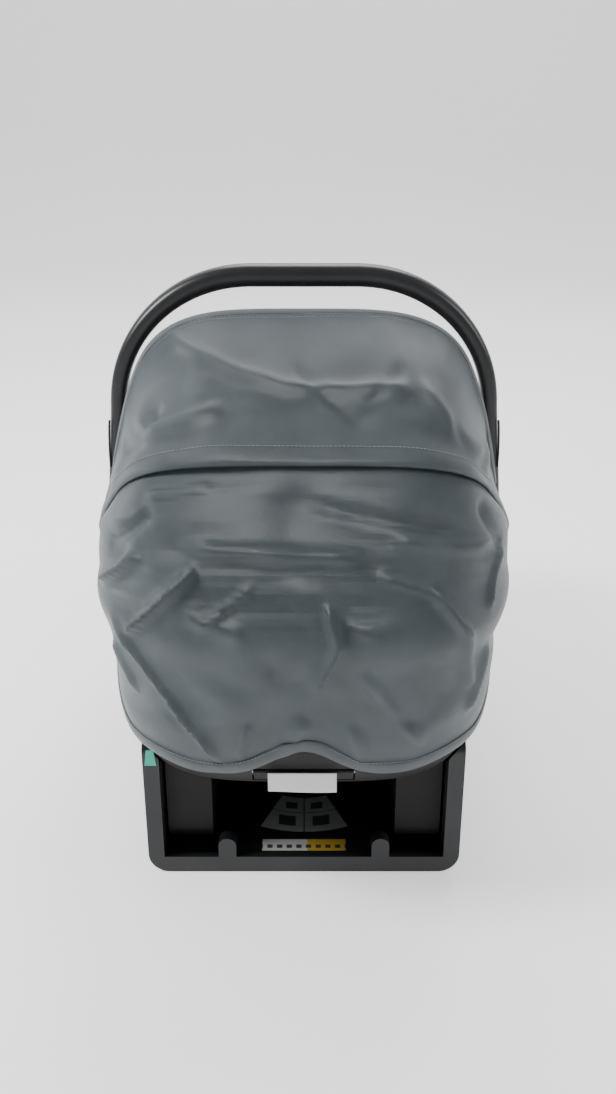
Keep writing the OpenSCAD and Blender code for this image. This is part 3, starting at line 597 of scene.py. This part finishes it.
# the cloth passes over the rim in a soft bend
for _ in range(6):
    rear[1:-1] = 0.5 * rear[1:-1] + 0.25 * (rear[2:] + rear[:-2])
outward = outward_normals(rear, CLOTH_MIDDLE)
hang = np.linspace(0, 1, len(rear))[:, None]
free = ease(hang / 0.16) * (0.35 + 0.65 * (1 - ease((hang - 0.86) / 0.14)))
waves = ripple(rear, 21, 26, 0.0032, 1.3) + ripple(rear, 39, 33, 0.0019, 0.2) + ripple(rear, 71, 57, 0.0013, 2.4)
change = outward * (free * (waves + 0.001))[..., None]
for start, end, width, height in [
    ((-0.178, 0.328), (-0.088, 0.205), 0.0065, 0.0065), ((-0.168, 0.318), (-0.098, 0.212), 0.012, -0.0030),
    ((-0.105, 0.418), (0.048, 0.412), 0.0075, 0.0055), ((-0.105, 0.402), (0.03, 0.398), 0.008, -0.0035),
    ((-0.103, 0.402), (-0.168, 0.332), 0.0065, 0.0055), ((0.023, 0.368), (0.034, 0.335), 0.0045, 0.0040),
    ((0.034, 0.335), (0.014, 0.292), 0.0045, 0.0040), ((-0.008, 0.360), (-0.030, 0.308), 0.0045, -0.0040),
    ((0.125, 0.378), (0.156, 0.335), 0.0060, 0.0055), ((0.156, 0.335), (0.165, 0.270), 0.0080, 0.0030),
    ((0.090, 0.425), (0.180, 0.405), 0.0080, 0.0040), ((0.060, 0.300), (0.120, 0.215), 0.0100, 0.0040),
    ((-0.060, 0.345), (-0.110, 0.360), 0.0090, 0.0030), ((0.000, 0.250), (-0.020, 0.200), 0.0090, 0.0030),
    ((-0.190, 0.400), (-0.150, 0.440), 0.0060, -0.0040), ((0.175, 0.440), (0.200, 0.390), 0.0060, -0.0040),
    ((-0.200, 0.360), (-0.160, 0.405), 0.0060, 0.0045), ((0.05, 0.24), (0.06, 0.19), 0.010, 0.003),
    ((-0.100, 0.350), (-0.050, 0.385), 0.0045, 0.0032), ((0.045, 0.352), (0.070, 0.345), 0.0035, 0.0030),
    ((0.075, 0.395), (0.125, 0.378), 0.0045, 0.0035), ((-0.150, 0.455), (-0.090, 0.470), 0.0040, 0.0030),
    ((0.015, 0.455), (0.140, 0.430), 0.0050, -0.0030), ((-0.065, 0.205), (-0.055, 0.245), 0.0040, 0.0028),
    ((0.060, 0.262), (0.105, 0.245), 0.0050, -0.0026), ((0.165, 0.240), (0.185, 0.300), 0.0050, 0.0030),
    ((-0.190, 0.300), (-0.170, 0.260), 0.0050, 0.0030), ((0.180, 0.350), (0.200, 0.395), 0.0045, 0.0032),
]:
    change += soft_fold(rear, outward, start, end, width, height) * free[..., None]
# it is pressed in no further than the rim under it allows
push = (change * outward).sum(2, keepdims=True)
least = -0.0045 * (1 - ease((hang - 0.18) / 0.15))[..., None] - 0.0002
room = 0.0040 * np.exp(-((np.arange(len(rear)) - (REAR_ROWS - 1)) / 5.0) ** 2)[:, None, None]
rear += outward * (np.maximum(push, least) + 0.0010 * ease(hang / 0.4)[..., None] + room)

cloth = Finish("canopy_twill", Roughness=0.37, Sheen_Weight=0.06, Sheen_Roughness=0.4,
               Sheen_Tint=(0.75, 0.86, 0.92, 1))
weave_map = cloth.node("UVMap").outputs[0]
rib = cloth.node("TexWave", {"bands_direction": "DIAGONAL"}, Vector=weave_map, Scale=430.0, Distortion=0.6,
                 Detail=1.0).outputs["Fac"]
yarn = cloth.node("TexWave", {"bands_direction": "X"}, Vector=weave_map, Scale=900.0, Distortion=0.8,
                  Detail=1.0).outputs["Fac"]
slub = cloth.noise(cloth.node("Mapping", Vector=weave_map, Scale=(260.0, 1400.0, 1.0)).outputs[0], 1.0, 2.0)
patch = cloth.noise(weave_map, 18.0, 4.0, 0.6)
cross_yarns = cloth.math("MULTIPLY", cloth.math("ADD", yarn, slub), 0.25)
height = cloth.math("ADD", cloth.math("MULTIPLY", rib, 0.6), cross_yarns)
tone = cloth.math("ADD", cloth.math("MULTIPLY", height, 0.55), cloth.math("MULTIPLY", patch, 0.5))
cloth.colour(cloth.shade(tone, (0.017, 0.0245, 0.028), (0.064, 0.083, 0.093), 0.30, 0.85))
cloth.relief(height, 0.0006, 0.5)


def cloth_sheet(name, grid):
    """A canopy panel, 2.2 mm thick with its lining."""
    sheet = make_mesh(name, grid.reshape(-1, 3), grid_faces(*grid.shape[:2]), grid_uv(grid))
    return finished(open_sheet(sheet, (0, -0.05, 0.28)), cloth.material, thick(0.0022))


front_panel = cloth_sheet("canopy_front_cloth", front)
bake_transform(front_panel)
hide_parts("canopy_front_panel")
rear_panel = cloth_sheet("canopy_rear_cloth", rear)
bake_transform(rear_panel)
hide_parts("canopy_rear_panel", "canopy_apron")


# The front edge is bound in the same twill and double stitched; a third row of stitches holds
# the lip, and the rear panel's hem is turned up and stitched.

def closed_solid(obj):
    """Turns every face outwards."""
    work = bmesh.new()
    work.from_mesh(obj.data)
    bmesh.ops.remove_doubles(work, verts=work.verts, dist=1e-6)
    bmesh.ops.recalc_face_normals(work, faces=work.faces)
    work.to_mesh(obj.data)
    work.free()
    return obj


def edge_frames(line, inward):
    """Two directions square to a line: into the cloth and out of it."""
    along = np.gradient(line, axis=0)
    along /= np.linalg.norm(along, axis=1, keepdims=True)
    inward = inward - (inward * along).sum(1, keepdims=True) * along
    inward /= np.linalg.norm(inward, axis=1, keepdims=True)
    return inward, np.cross(along, inward)


def capped_tube(rings, count):
    """Faces of a tube of rings, closed at both ends."""
    ends = [tuple(range(count)), tuple((rings - 1) * count + k for k in range(count))]
    return grid_faces(rings, count, closed=True) + ends


def swept(name, line, inward, section, material):
    """A section, as (inward, outward) offsets, carried along a line."""
    a, b = edge_frames(line, inward)
    section = np.array(section)
    rings = line[:, None] + section[None, :, :1] * a[:, None] + section[None, :, 1:] * b[:, None]
    count = len(section)
    faces = capped_tube(len(line), count)
    run = np.concatenate([[0], np.cumsum(np.linalg.norm(np.diff(line, axis=0), axis=1))])
    around = np.linspace(0, 0.02, count)
    uv = np.stack([np.repeat(run, count), np.tile(around, len(line))], -1)
    obj = closed_solid(make_mesh(name, rings.reshape(-1, 3), faces, uv))
    return finished(obj, material)


def oval(wide, deep, count=14, shift=0.0):
    return [(shift + wide / 2 * math.cos(2 * math.pi * k / count), deep / 2 * math.sin(2 * math.pi * k / count))
            for k in range(count)]


binding_finish = Finish("canopy_binding", Roughness=0.55, Sheen_Weight=0.3)
strip_map = binding_finish.node("UVMap").outputs[0]
strip_rib = binding_finish.node("TexWave", {"bands_direction": "X"}, Vector=strip_map, Scale=520.0, Distortion=0.5)
strip_rib = strip_rib.outputs["Fac"]
binding_finish.colour(binding_finish.shade(strip_rib, (0.036, 0.047, 0.052), (0.080, 0.100, 0.110)))
binding_finish.relief(strip_rib, 0.0004, 0.4)

binding = swept("canopy_front_binding", resample(front[0], 400),
                resample(front[4], 400) - resample(front[0], 400), oval(0.012, 0.0052, shift=0.003),
                binding_finish.material)
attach(binding, "canopy_front")

thread = Finish("grey_thread", Roughness=0.6)
thread_place = thread.node("TexCoord").outputs["Object"]
thread.colour(thread.shade(thread.noise(thread_place, 900.0), (0.16, 0.18, 0.19), (0.30, 0.33, 0.35)))

stitch_tree = bpy.data.node_groups.new("stitch_row", "GeometryNodeTree")
stitch_tree.interface.new_socket("Geometry", in_out="INPUT", socket_type="NodeSocketGeometry")
STITCH_SIZES = {}
for label, default in [("Pitch", 0.0042), ("Stitch length", 0.0030), ("Thread radius", 0.00038)]:
    socket = stitch_tree.interface.new_socket(label, in_out="INPUT", socket_type="NodeSocketFloat")
    socket.default_value = default
    STITCH_SIZES[label] = socket.identifier
thread_socket = stitch_tree.interface.new_socket("Thread", in_out="INPUT", socket_type="NodeSocketMaterial")
stitch_tree.interface.new_socket("Geometry", in_out="OUTPUT", socket_type="NodeSocketGeometry")
add = stitch_tree.nodes.new
wire = stitch_tree.links.new
row_in, row_out = add("NodeGroupInput"), add("NodeGroupOutput")
to_curve, to_points = add("GeometryNodeMeshToCurve"), add("GeometryNodeCurveToPoints")
to_points.mode = "LENGTH"
capsule, place_stitch = add("GeometryNodeMeshCylinder"), add("GeometryNodeInstanceOnPoints")
capsule.inputs["Vertices"].default_value = 6
capsule.inputs["Side Segments"].default_value = 2
realize, paint = add("GeometryNodeRealizeInstances"), add("GeometryNodeSetMaterial")
wire(row_in.outputs["Geometry"], to_curve.inputs[0])
wire(to_curve.outputs[0], to_points.inputs["Curve"])
wire(row_in.outputs["Pitch"], to_points.inputs["Length"])
wire(row_in.outputs["Stitch length"], capsule.inputs["Depth"])
wire(row_in.outputs["Thread radius"], capsule.inputs["Radius"])
wire(to_points.outputs["Points"], place_stitch.inputs["Points"])
wire(to_points.outputs["Rotation"], place_stitch.inputs["Rotation"])
wire(capsule.outputs["Mesh"], place_stitch.inputs["Instance"])
wire(place_stitch.outputs["Instances"], realize.inputs["Geometry"])
wire(realize.outputs["Geometry"], paint.inputs["Geometry"])
wire(row_in.outputs["Thread"], paint.inputs["Material"])
wire(paint.outputs["Geometry"], row_out.inputs["Geometry"])


def stitches(name, lines, material, pitch=0.0042, length=0.0030, radius=0.00038):
    """Rows of separate stitches along lines that lie on the cloth."""
    points, edges = [], []
    for line in lines:
        edges += [(len(points) + k, len(points) + k + 1) for k in range(len(line) - 1)]
        points += [tuple(map(float, p)) for p in line]
    mesh = bpy.data.meshes.new(name)
    mesh.from_pydata(points, edges, [])
    obj = link(bpy.data.objects.new(name, mesh))
    row = obj.modifiers.new("stitches", "NODES")
    row.node_group = stitch_tree
    for label, value in [("Pitch", pitch), ("Stitch length", length), ("Thread radius", radius)]:
        row[STITCH_SIZES[label]] = value
    row[thread_socket.identifier] = material
    return finished(obj, material)


def on_cloth(grid, row, lift):
    """A line along one row of the sheet, lifted off it."""
    low = int(row)
    place, normal = (rows[low] * (1 - row + low) + rows[min(low + 1, len(rows) - 1)] * (row - low)
                     for rows in (grid, outward_normals(grid, CLOTH_MIDDLE)))
    return resample(place + lift * normal, 500)


hem_rows = stitches("canopy_front_stitches", [on_cloth(front, 1.8, 0.0002), on_cloth(front, 2.9, 0.0002)],
                    thread.material)
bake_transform(hem_rows)
lip_rows = stitches("canopy_lip_stitches", [on_cloth(front, 37.5, 0.0002)], thread.material)
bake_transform(lip_rows)
low_hem = swept("canopy_rear_hem", resample(rear[-1], 400), resample(rear[-4], 400) - resample(rear[-1], 400),
                oval(0.016, 0.0044, shift=0.005), cloth.material)
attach(low_hem, "carrier")
low_rows = stitches("canopy_rear_stitches", [on_cloth(rear, len(rear) - 3.1, 0.0012)], thread.material)
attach(low_rows, "carrier")


# ---- Carry handle
# One arch of gas-assisted nylon: an oval grip section that widens into flat arms, and a round
# hub at each foot with the grey button that unlocks it. Satin charcoal.

ARM_OUT, ARM_IN, SHOULDER_Z = 0.234, 0.2125, 0.475
GRIP_HALF, GRIP_THICK, HANDLE_TOP = 0.060, 0.025, 0.637


def arch_line(top, spread, foot_x, foot_z):
    """One face of the arch, from hub to hub, as (x, z)."""
    t = np.radians(np.linspace(0, 90, 60))
    side = [(foot_x, HUB[2] + 0.004), (foot_x, foot_z), (foot_x - 0.005, foot_z + 0.060)]
    side += list(zip(GRIP_HALF + spread * np.cos(t), SHOULDER_Z + (top - SHOULDER_Z) * np.sin(t)))
    side = resample(side, 300)
    for _ in range(60):
        side[1:-1] = 0.5 * side[1:-1] + 0.25 * (side[2:] + side[:-2])
    grip = np.stack([np.linspace(GRIP_HALF, -GRIP_HALF, 60)[1:-1], np.full(58, top)], -1)
    return np.concatenate([side, grip, side[::-1] * np.array([-1, 1])])


outer = resample(arch_line(HANDLE_TOP, 0.162, ARM_OUT, 0.340), 361)
inner_line = arch_line(HANDLE_TOP - GRIP_THICK, 0.143, ARM_IN, 0.380)
nearest = ((inner_line[None] - outer[:, None]) ** 2).sum(2).argmin(1)
inner = resample(inner_line[np.maximum.accumulate(nearest)], 361)
half = (outer - inner) / 2
centre_line = (outer + inner) / 2
SIDES = 36
turn = np.linspace(0, 2 * math.pi, SIDES, endpoint=False)
# the section's power: squarer in the arms, rounder in the grip
ARM_POWER, GRIP_POWER = 2 / 3.4, 0.80
rings = []
for c, h in zip(centre_line, half):
    grip = ease((c[1] - 0.50) / 0.10)
    depth = 0.0148 - 0.0012 * grip
    power_to = ARM_POWER * (1 - grip) + GRIP_POWER * grip
    u, v = power(np.cos(turn), power_to), power(np.sin(turn), power_to)
    rings.append(np.stack([c[0] + h[0] * u, HUB[1] + depth * v, c[1] + h[1] * u], -1))
rings = np.array(rings)
handle_plastic = moulded("handle_plastic", (0.011, 0.0115, 0.0125), (0.019, 0.020, 0.022), 0.34, 0.0001)
handle = closed_solid(make_mesh("carry_handle_arch", rings.reshape(-1, 3), capped_tube(len(rings), SIDES)))
finished(handle, handle_plastic)
handle.data.set_sharp_from_angle(angle=math.radians(50))
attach(handle, "handle")
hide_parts("carry_handle")


TURNED_SIDES = 72


def turned(name, profile, side, material):
    """A round part turned about the handle's hinge line, from (distance from the middle, radius)."""
    around = np.linspace(0, 2 * math.pi, TURNED_SIDES, endpoint=False)
    points = [(side * x, HUB[1] + r * math.cos(a), HUB[2] + r * math.sin(a)) for x, r in profile for a in around]
    obj = closed_solid(make_mesh(name, points, capped_tube(len(profile), TURNED_SIDES)))
    finished(obj, material)
    obj.data.set_sharp_from_angle(angle=math.radians(35))
    return obj


# profiles from the inner face out, as (distance from the middle, radius)
HUB_PROFILE = [(0.2128, 0.0080), (0.2128, 0.0345), (0.2136, 0.0356), (0.2300, 0.0358), (0.2328, 0.0348),
               (0.2338, 0.0325), (0.2338, 0.0215), (0.2330, 0.0208), (0.2330, 0.0190), (0.2338, 0.0183),
               (0.2338, 0.0150), (0.2332, 0.0143), (0.2250, 0.0143), (0.2250, 0.0080)]
BUTTON_PROFILE = [(0.2292, 0.0040), (0.2292, 0.0138), (0.2350, 0.0139), (0.2359, 0.0130), (0.2361, 0.0110),
                  (0.2352, 0.0080), (0.2349, 0.0030)]
button_grey = bpy.data.materials["button_grey"]
for side, label in [(-1, "left"), (1, "right")]:
    hub = turned("handle_hub_" + label, HUB_PROFILE, side, handle_plastic)
    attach(hub, "handle")
    button = turned("hub_button_" + label, BUTTON_PROFILE, side, button_grey)
    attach(button, "handle_button_" + label)
    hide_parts("handle_button_" + label)
    # a short slot along the arm, above the hub
    slot = np.array([(side * (0.2342 - 0.035 * ease((z - 0.40) / 0.30) * (z - 0.40) / 0.10), HUB[1] - 0.0142, z)
                     for z in np.linspace(0.405, 0.462, 12)])
    groove = swept("arm_slot_" + label, slot - np.array([side * 0.0085, 0, 0]),
                   np.tile([side * 1.0, 0, 0], (12, 1)), oval(0.0026, 0.0022, 10), rubber)
    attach(groove, "handle")


# ---- Seat pad
# The removable cover: dark grey knit quilted to thin wadding, sewn from a bottom and side wings
# with a piped seam, and pulled over the rim from the hips to the foot end with an elastic hem.

pad_columns, pad_rings = 264, 40
SEAM_RING = 13


def pad_rows(inset, lift, groove):
    """One face of the pad inside the tub; groove gives how far each ring is drawn in."""
    layers = []
    for k in range(pad_rings):
        q = max(math.sin(math.pi / 2 * (1 - (k / (pad_rings - 1)) ** 1.5)), 0.015)
        loop = bowl_at(ALL_ROUND, q, inset - groove(k))
        loop[:, 2] += lift * max(0, 1 - k / 3)
        layers.append(resample(loop, pad_columns + 1)[:-1])
    return layers


def wadding(k):
    """Pulled in at the piped seam and fuller on both sides of it."""
    return 0.0032 if k == SEAM_RING else -0.0012 * math.sin(math.pi * min(1, abs(k - SEAM_RING) / 9))


inner_face = pad_rows(0.0272, 0.001, wadding)
back_face = pad_rows(0.0152, -0.004, lambda k: 0)
edge = bowl_ring(1.0, 0.0, pad_columns)
wrap = ease((edge[:, 1] - 0.004) / 0.035)[:, None]
rim_out = (edge - np.array([0, RIM_MIDDLE, 0])) * np.array([1, 1, 0])
rim_out /= np.linalg.norm(rim_out, axis=1, keepdims=True)
gathers = (0.0007 * np.sin(np.arange(pad_columns) * 2 * math.pi / 11))[:, None] * rim_out
up = np.array([0, 0, 1.0])


def skirt(worn, tucked):
    """A line of the cover, as (out, up) from the rim: worn over it, or tucked inside it."""
    (wx, wz), (tx, tz) = worn, tucked
    return edge + rim_out * (wx * wrap + tx * (1 - wrap)) + up * (wz * wrap + tz * (1 - wrap))


over = [skirt((0.0042, -0.0230), (-0.0150, -0.0120)) + gathers * wrap,
        skirt((0.0058, -0.0215), (-0.0152, -0.0080)) + gathers * wrap,
        skirt((0.0054, -0.0120), (-0.0158, -0.0040)) + 0.5 * gathers * wrap,
        skirt((0.0056, -0.0010), (-0.0165, -0.0018)), skirt((0.0040, 0.0034), (-0.0185, -0.0006)),
        skirt((-0.0030, 0.0050), (-0.0215, -0.0002)), skirt((-0.0150, 0.0042), (-0.0245, -0.0006))]
front_face = over + inner_face[1:]
under = [skirt((0.0036, -0.0220), (-0.0148, -0.0120)), skirt((0.0036, -0.0150), (-0.0149, -0.0110)),
         skirt((0.0036, -0.0060), (-0.0150, -0.0090)), skirt((0.0032, 0.0004), (-0.0151, -0.0080)),
         skirt((0.0020, 0.0022), (-0.0151, -0.0070)), skirt((-0.0060, 0.0024), (-0.0151, -0.0060)),
         skirt((-0.0140, -0.0010), (-0.0151, -0.0050))]
back_side = under + back_face[1:]
# quilting channels run up the wings, one in twelve columns
channels = np.zeros(pad_columns)
channels[::12] = 1
wing = np.array([ease((k - 7) / 3) * (1 - ease((k - SEAM_RING - 7) / 4)) for k in range(len(front_face))])
front_face = np.array(front_face)
toward = np.array(back_side) - front_face
toward /= np.linalg.norm(toward, axis=2, keepdims=True) + 1e-9
front_face = front_face + toward * (0.0022 * wing[:, None] * channels[None])[..., None]
rows_count = len(front_face)
pad_points = np.concatenate([front_face.reshape(-1, 3), np.array(back_side).reshape(-1, 3)])
front_quads = grid_faces(rows_count, pad_columns, closed=True)
shift = rows_count * pad_columns
pad_faces = front_quads + [tuple(i + shift for i in reversed(face)) for face in front_quads]
pad_faces += [(k, shift + k, shift + (k + 1) % pad_columns, (k + 1) % pad_columns) for k in range(pad_columns)]
pad_faces += [tuple((rows_count - 1) * pad_columns + k for k in range(pad_columns)),
              tuple(shift + (rows_count - 1) * pad_columns + k for k in reversed(range(pad_columns)))]


def knit(name, dark, light, loop, fuzz):
    """Knitted cover cloth: interlocked loops, a slow heather and a little fuzz."""
    made = Finish(name, Roughness=0.9, Specular_IOR_Level=0.2, Sheen_Weight=fuzz, Sheen_Roughness=0.5)
    where = made.node("TexCoord").outputs["Object"]
    stretched = made.node("Mapping", Vector=where, Scale=(1 / loop, 0.7 / loop, 1 / loop)).outputs[0]
    loops = made.node("TexVoronoi", Vector=stretched, Scale=1.0).outputs["Distance"]
    heather = made.noise(where, 340.0, 2.0)
    slow = made.noise(where, 14.0, 3.0)
    fine_tone = made.math("MULTIPLY", heather, 0.55)
    broad_tone = made.math("ADD", made.math("MULTIPLY", slow, 0.3), made.math("MULTIPLY", loops, 0.2))
    made.colour(made.shade(made.math("ADD", fine_tone, broad_tone), dark, light, 0.35, 0.75))
    made.relief(loops, 0.0007, 0.45)
    return made.material


pad_cloth = knit("seat_pad_knit", (0.018, 0.022, 0.026), (0.052, 0.060, 0.066), 0.0022, 0.25)
pad = closed_solid(make_mesh("seat_pad_cover", pad_points, pad_faces))
finished(pad, pad_cloth)
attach(pad, "carrier")
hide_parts("seat_pad")
piping_line = np.array(inner_face[SEAM_RING])
piping_in = (piping_line.mean(0) - piping_line) * np.array([1, 1, 0])
loop_line = np.concatenate([piping_line, piping_line[:2]])
piping = swept("seat_pad_piping", loop_line, np.concatenate([piping_in, piping_in[:2]]), oval(0.0030, 0.0030, 10),
               pad_cloth)
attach(piping, "carrier")


# ---- Infant inserts
# Two loose cushions of pale heather jersey over wadding: a body cushion in the bottom of the
# tub, and a horseshoe that keeps the head upright. Both are blown up by a short cloth run.

def smooth(levels):
    return ("SUBSURF", {"levels": levels, "render_levels": levels})


def puffed(obj, voxel, pressure, cap, frames):
    """Voxel remesh and a cloth run, with no point moving further than the cap."""
    remesh = obj.modifiers.new("remesh", "REMESH")
    remesh.mode, remesh.voxel_size = "VOXEL", voxel
    bpy.context.view_layer.update()
    obj.data = bpy.data.meshes.new_from_object(obj.evaluated_get(bpy.context.evaluated_depsgraph_get()))
    obj.modifiers.clear()
    still = np.array([v.co for v in obj.data.vertices])
    fabric = obj.modifiers.new("cloth", "CLOTH").settings
    fabric.quality = 3
    fabric.use_pressure = True
    fabric.uniform_pressure_force = pressure
    fabric.effector_weights.gravity = 0
    for number in range(1, frames + 1):
        bpy.context.scene.frame_set(number)
    moved = bpy.data.meshes.new_from_object(obj.evaluated_get(bpy.context.evaluated_depsgraph_get()))
    obj.modifiers.clear()
    after = np.array([v.co for v in moved.vertices])
    step = after - still
    length = np.linalg.norm(step, axis=1, keepdims=True)
    final = still + step * np.minimum(1, cap / np.maximum(length, 1e-9))
    moved.vertices.foreach_set("co", final.astype(np.float32).ravel())
    obj.data = moved
    bpy.context.scene.frame_set(1)


insert_cloth = knit("insert_jersey", (0.30, 0.32, 0.34), (0.50, 0.52, 0.54), 0.0018, 0.3)
cols, lines = 44, 56
body_top, body_low = [], []
for j in range(lines):
    y = -0.104 + 0.288 * j / (lines - 1)
    end = math.sqrt(max(0.0, 1 - (2 * j / (lines - 1) - 1) ** 4))
    wide = 0.108 * (0.70 + 0.30 * end)
    top_row, low_row = [], []
    for k in range(cols):
        s = 2 * k / (cols - 1) - 1
        x = wide * s
        full = math.sqrt(max(0.0, 1 - abs(s) ** 5)) * end
        rib_along = 0.0022 * math.exp(-((abs(x) - 0.062) / 0.005) ** 2)
        rib_across = 0.0018 * (1 - abs(s) ** 4) * math.exp(-((((y + 0.104) % 0.072) - 0.036) / 0.004) ** 2)
        low_z = float(bowl_over(x, y, 0.0300)) + 0.0005
        top_row.append((x, y, low_z + 0.0015 + 0.0085 * full - (rib_along + rib_across) * full))
        low_row.append((x, y, low_z))
    body_top.append(top_row)
    body_low.append(low_row)
insert_points = np.concatenate([np.array(body_top).reshape(-1, 3), np.array(body_low).reshape(-1, 3)])
insert_faces = grid_faces(lines, cols)
n_top = lines * cols
insert_faces += [tuple(i + n_top for i in reversed(face)) for face in grid_faces(lines, cols)]
border = [*range(cols), *(j * cols + cols - 1 for j in range(1, lines)),
          *((lines - 1) * cols + k for k in range(cols - 2, -1, -1)), *(j * cols for j in range(lines - 2, 0, -1))]
insert_faces += [(a, b, b + n_top, a + n_top) for a, b in zip(border, border[1:] + border[:1])]
body_insert = closed_solid(make_mesh("body_insert_cushion", insert_points, insert_faces))
puffed(body_insert, 0.0060, 3.0, 0.0035, 8)
# the straps lie over it, so its top is pressed down to them
for v in body_insert.data.vertices:
    ceiling = float(bowl_over(v.co.x, v.co.y, 0.0434))
    v.co.z = min(v.co.z, ceiling)
finished(body_insert, insert_cloth, smooth(1))
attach(body_insert, "carrier")
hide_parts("body_insert")

tilt = math.radians(17)
head_centre = np.array([0, -0.172, float(bowl_over(0.0, -0.172, 0.028)) + 0.031])
HORSESHOE, HEAD_STEPS, HEAD_SIDES = 0.084, 60, 28
tube_points = []
for k in range(HEAD_STEPS + 1):
    t = math.pi * k / HEAD_STEPS
    fat = 0.0185 * (0.55 + 0.45 * min(1.0, 4 * math.sin(t) + 0.55)) * (1 - 0.05 * math.cos(8 * t))
    for m in range(HEAD_SIDES):
        a = 2 * math.pi * m / HEAD_SIDES
        r = HORSESHOE + fat * math.cos(a)
        x, y, z = r * math.cos(t), -r * math.sin(t), fat * math.sin(a) * 0.98
        tube_points.append((head_centre[0] + x, head_centre[1] + y * math.cos(tilt),
                            head_centre[2] - y * math.sin(tilt) + z))
head_insert = closed_solid(make_mesh("head_insert_cushion", tube_points, capped_tube(HEAD_STEPS + 1, HEAD_SIDES)))
puffed(head_insert, 0.0060, 4.0, 0.0045, 10)
finished(head_insert, insert_cloth, smooth(1))
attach(head_insert, "carrier")
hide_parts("head_insert")


# ---- Harness and straps
# Black polyester webbing, 34 to 36 mm wide and 1.3 mm thick, woven in a twill with firm edges,
# and sewn in a box with thread of the same grey as the canopy's.

webbing = Finish("harness_webbing", Roughness=0.55)
web_map = webbing.node("UVMap").outputs[0]
twill_a = webbing.node("TexWave", {"bands_direction": "DIAGONAL"}, Vector=web_map, Scale=300.0,
                       Distortion=0.3).outputs["Fac"]
cross_yarn = webbing.node("TexWave", {"bands_direction": "Y"}, Vector=web_map, Scale=620.0,
                          Distortion=0.4).outputs["Fac"]
web_height = webbing.math("ADD", webbing.math("MULTIPLY", twill_a, 0.7), webbing.math("MULTIPLY", cross_yarn, 0.3))
webbing.colour(webbing.shade(web_height, (0.010, 0.010, 0.011), (0.040, 0.041, 0.044), 0.2, 0.9))
webbing.relief(web_height, 0.0005, 0.6)


STRAP_DEPTH, STRAP_ROWS, STRAP_COLUMNS = 0.0450, 40, 13


def bowl_web(start, end, width):
    """A strap laid in the bowl between two places on the floor plan."""
    a, b = np.array(start), np.array(end)
    direction = (b - a) / np.linalg.norm(b - a)
    cross_way = np.array([-direction[1], direction[0]])
    grid = np.zeros((STRAP_ROWS, STRAP_COLUMNS, 3))
    for i in range(STRAP_ROWS):
        for j in range(STRAP_COLUMNS):
            p = a + (b - a) * i / (STRAP_ROWS - 1) + cross_way * (j / (STRAP_COLUMNS - 1) - 0.5) * width
            grid[i, j] = (*p, float(bowl_over(p[0], p[1], STRAP_DEPTH)))
    return grid


def strap(name, grids, body, replaced):
    points, faces, uv = [], [], []
    for grid in grids:
        first = len(points)
        points += [tuple(p) for p in grid.reshape(-1, 3)]
        faces += [tuple(i + first for i in face) for face in grid_faces(*grid.shape[:2])]
        uv += [tuple(p) for p in grid_uv(grid)]
    obj = open_sheet(make_mesh(name, points, faces, uv))
    finished(obj, webbing.material, thick(0.0013, 0.0),
             ("BEVEL", {"width": 0.0004, "segments": 2, "limit_method": "ANGLE", "angle_limit": 0.6}))
    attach(obj, body)
    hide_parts(replaced)


shoulder = [bowl_web((s * 0.044, -0.128), (s * 0.022, 0.022), 0.036) for s in (-1, 1)]
hips = [bowl_web((s * 0.112, 0.060), (s * 0.036, 0.060), 0.034) for s in (-1, 1)]
crotch = [bowl_web((0.0, 0.178), (0.0, 0.084), 0.034)]
strap("shoulder_webbing", shoulder, "carrier", "shoulder_straps")
strap("hip_webbing", hips, "carrier", "hip_straps")
strap("crotch_webbing", crotch, "carrier", "crotch_strap")
anchor_low, anchor_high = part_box("anchor_strap")
anchor_z = (anchor_low.z + anchor_high.z) / 2
anchor_grid = np.array([[(x, y, anchor_z) for y in np.linspace(anchor_low.y, anchor_high.y, STRAP_COLUMNS)]
                        for x in np.linspace(anchor_low.x, anchor_high.x, 60)])
strap("anchor_webbing", [anchor_grid], "base", "anchor_strap")
seams = []
for grid in shoulder + hips + crotch:
    lifted = grid + np.array([0, 0, 0.0008])
    seams += [resample(lifted[:, 2], 60), resample(lifted[:, 10], 60)]
    for i in (3, 7):
        seams.append(lifted[i, 2:11])
seam_rows = stitches("harness_stitches", seams, thread.material, 0.0034, 0.0024, 0.00032)
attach(seam_rows, "carrier")
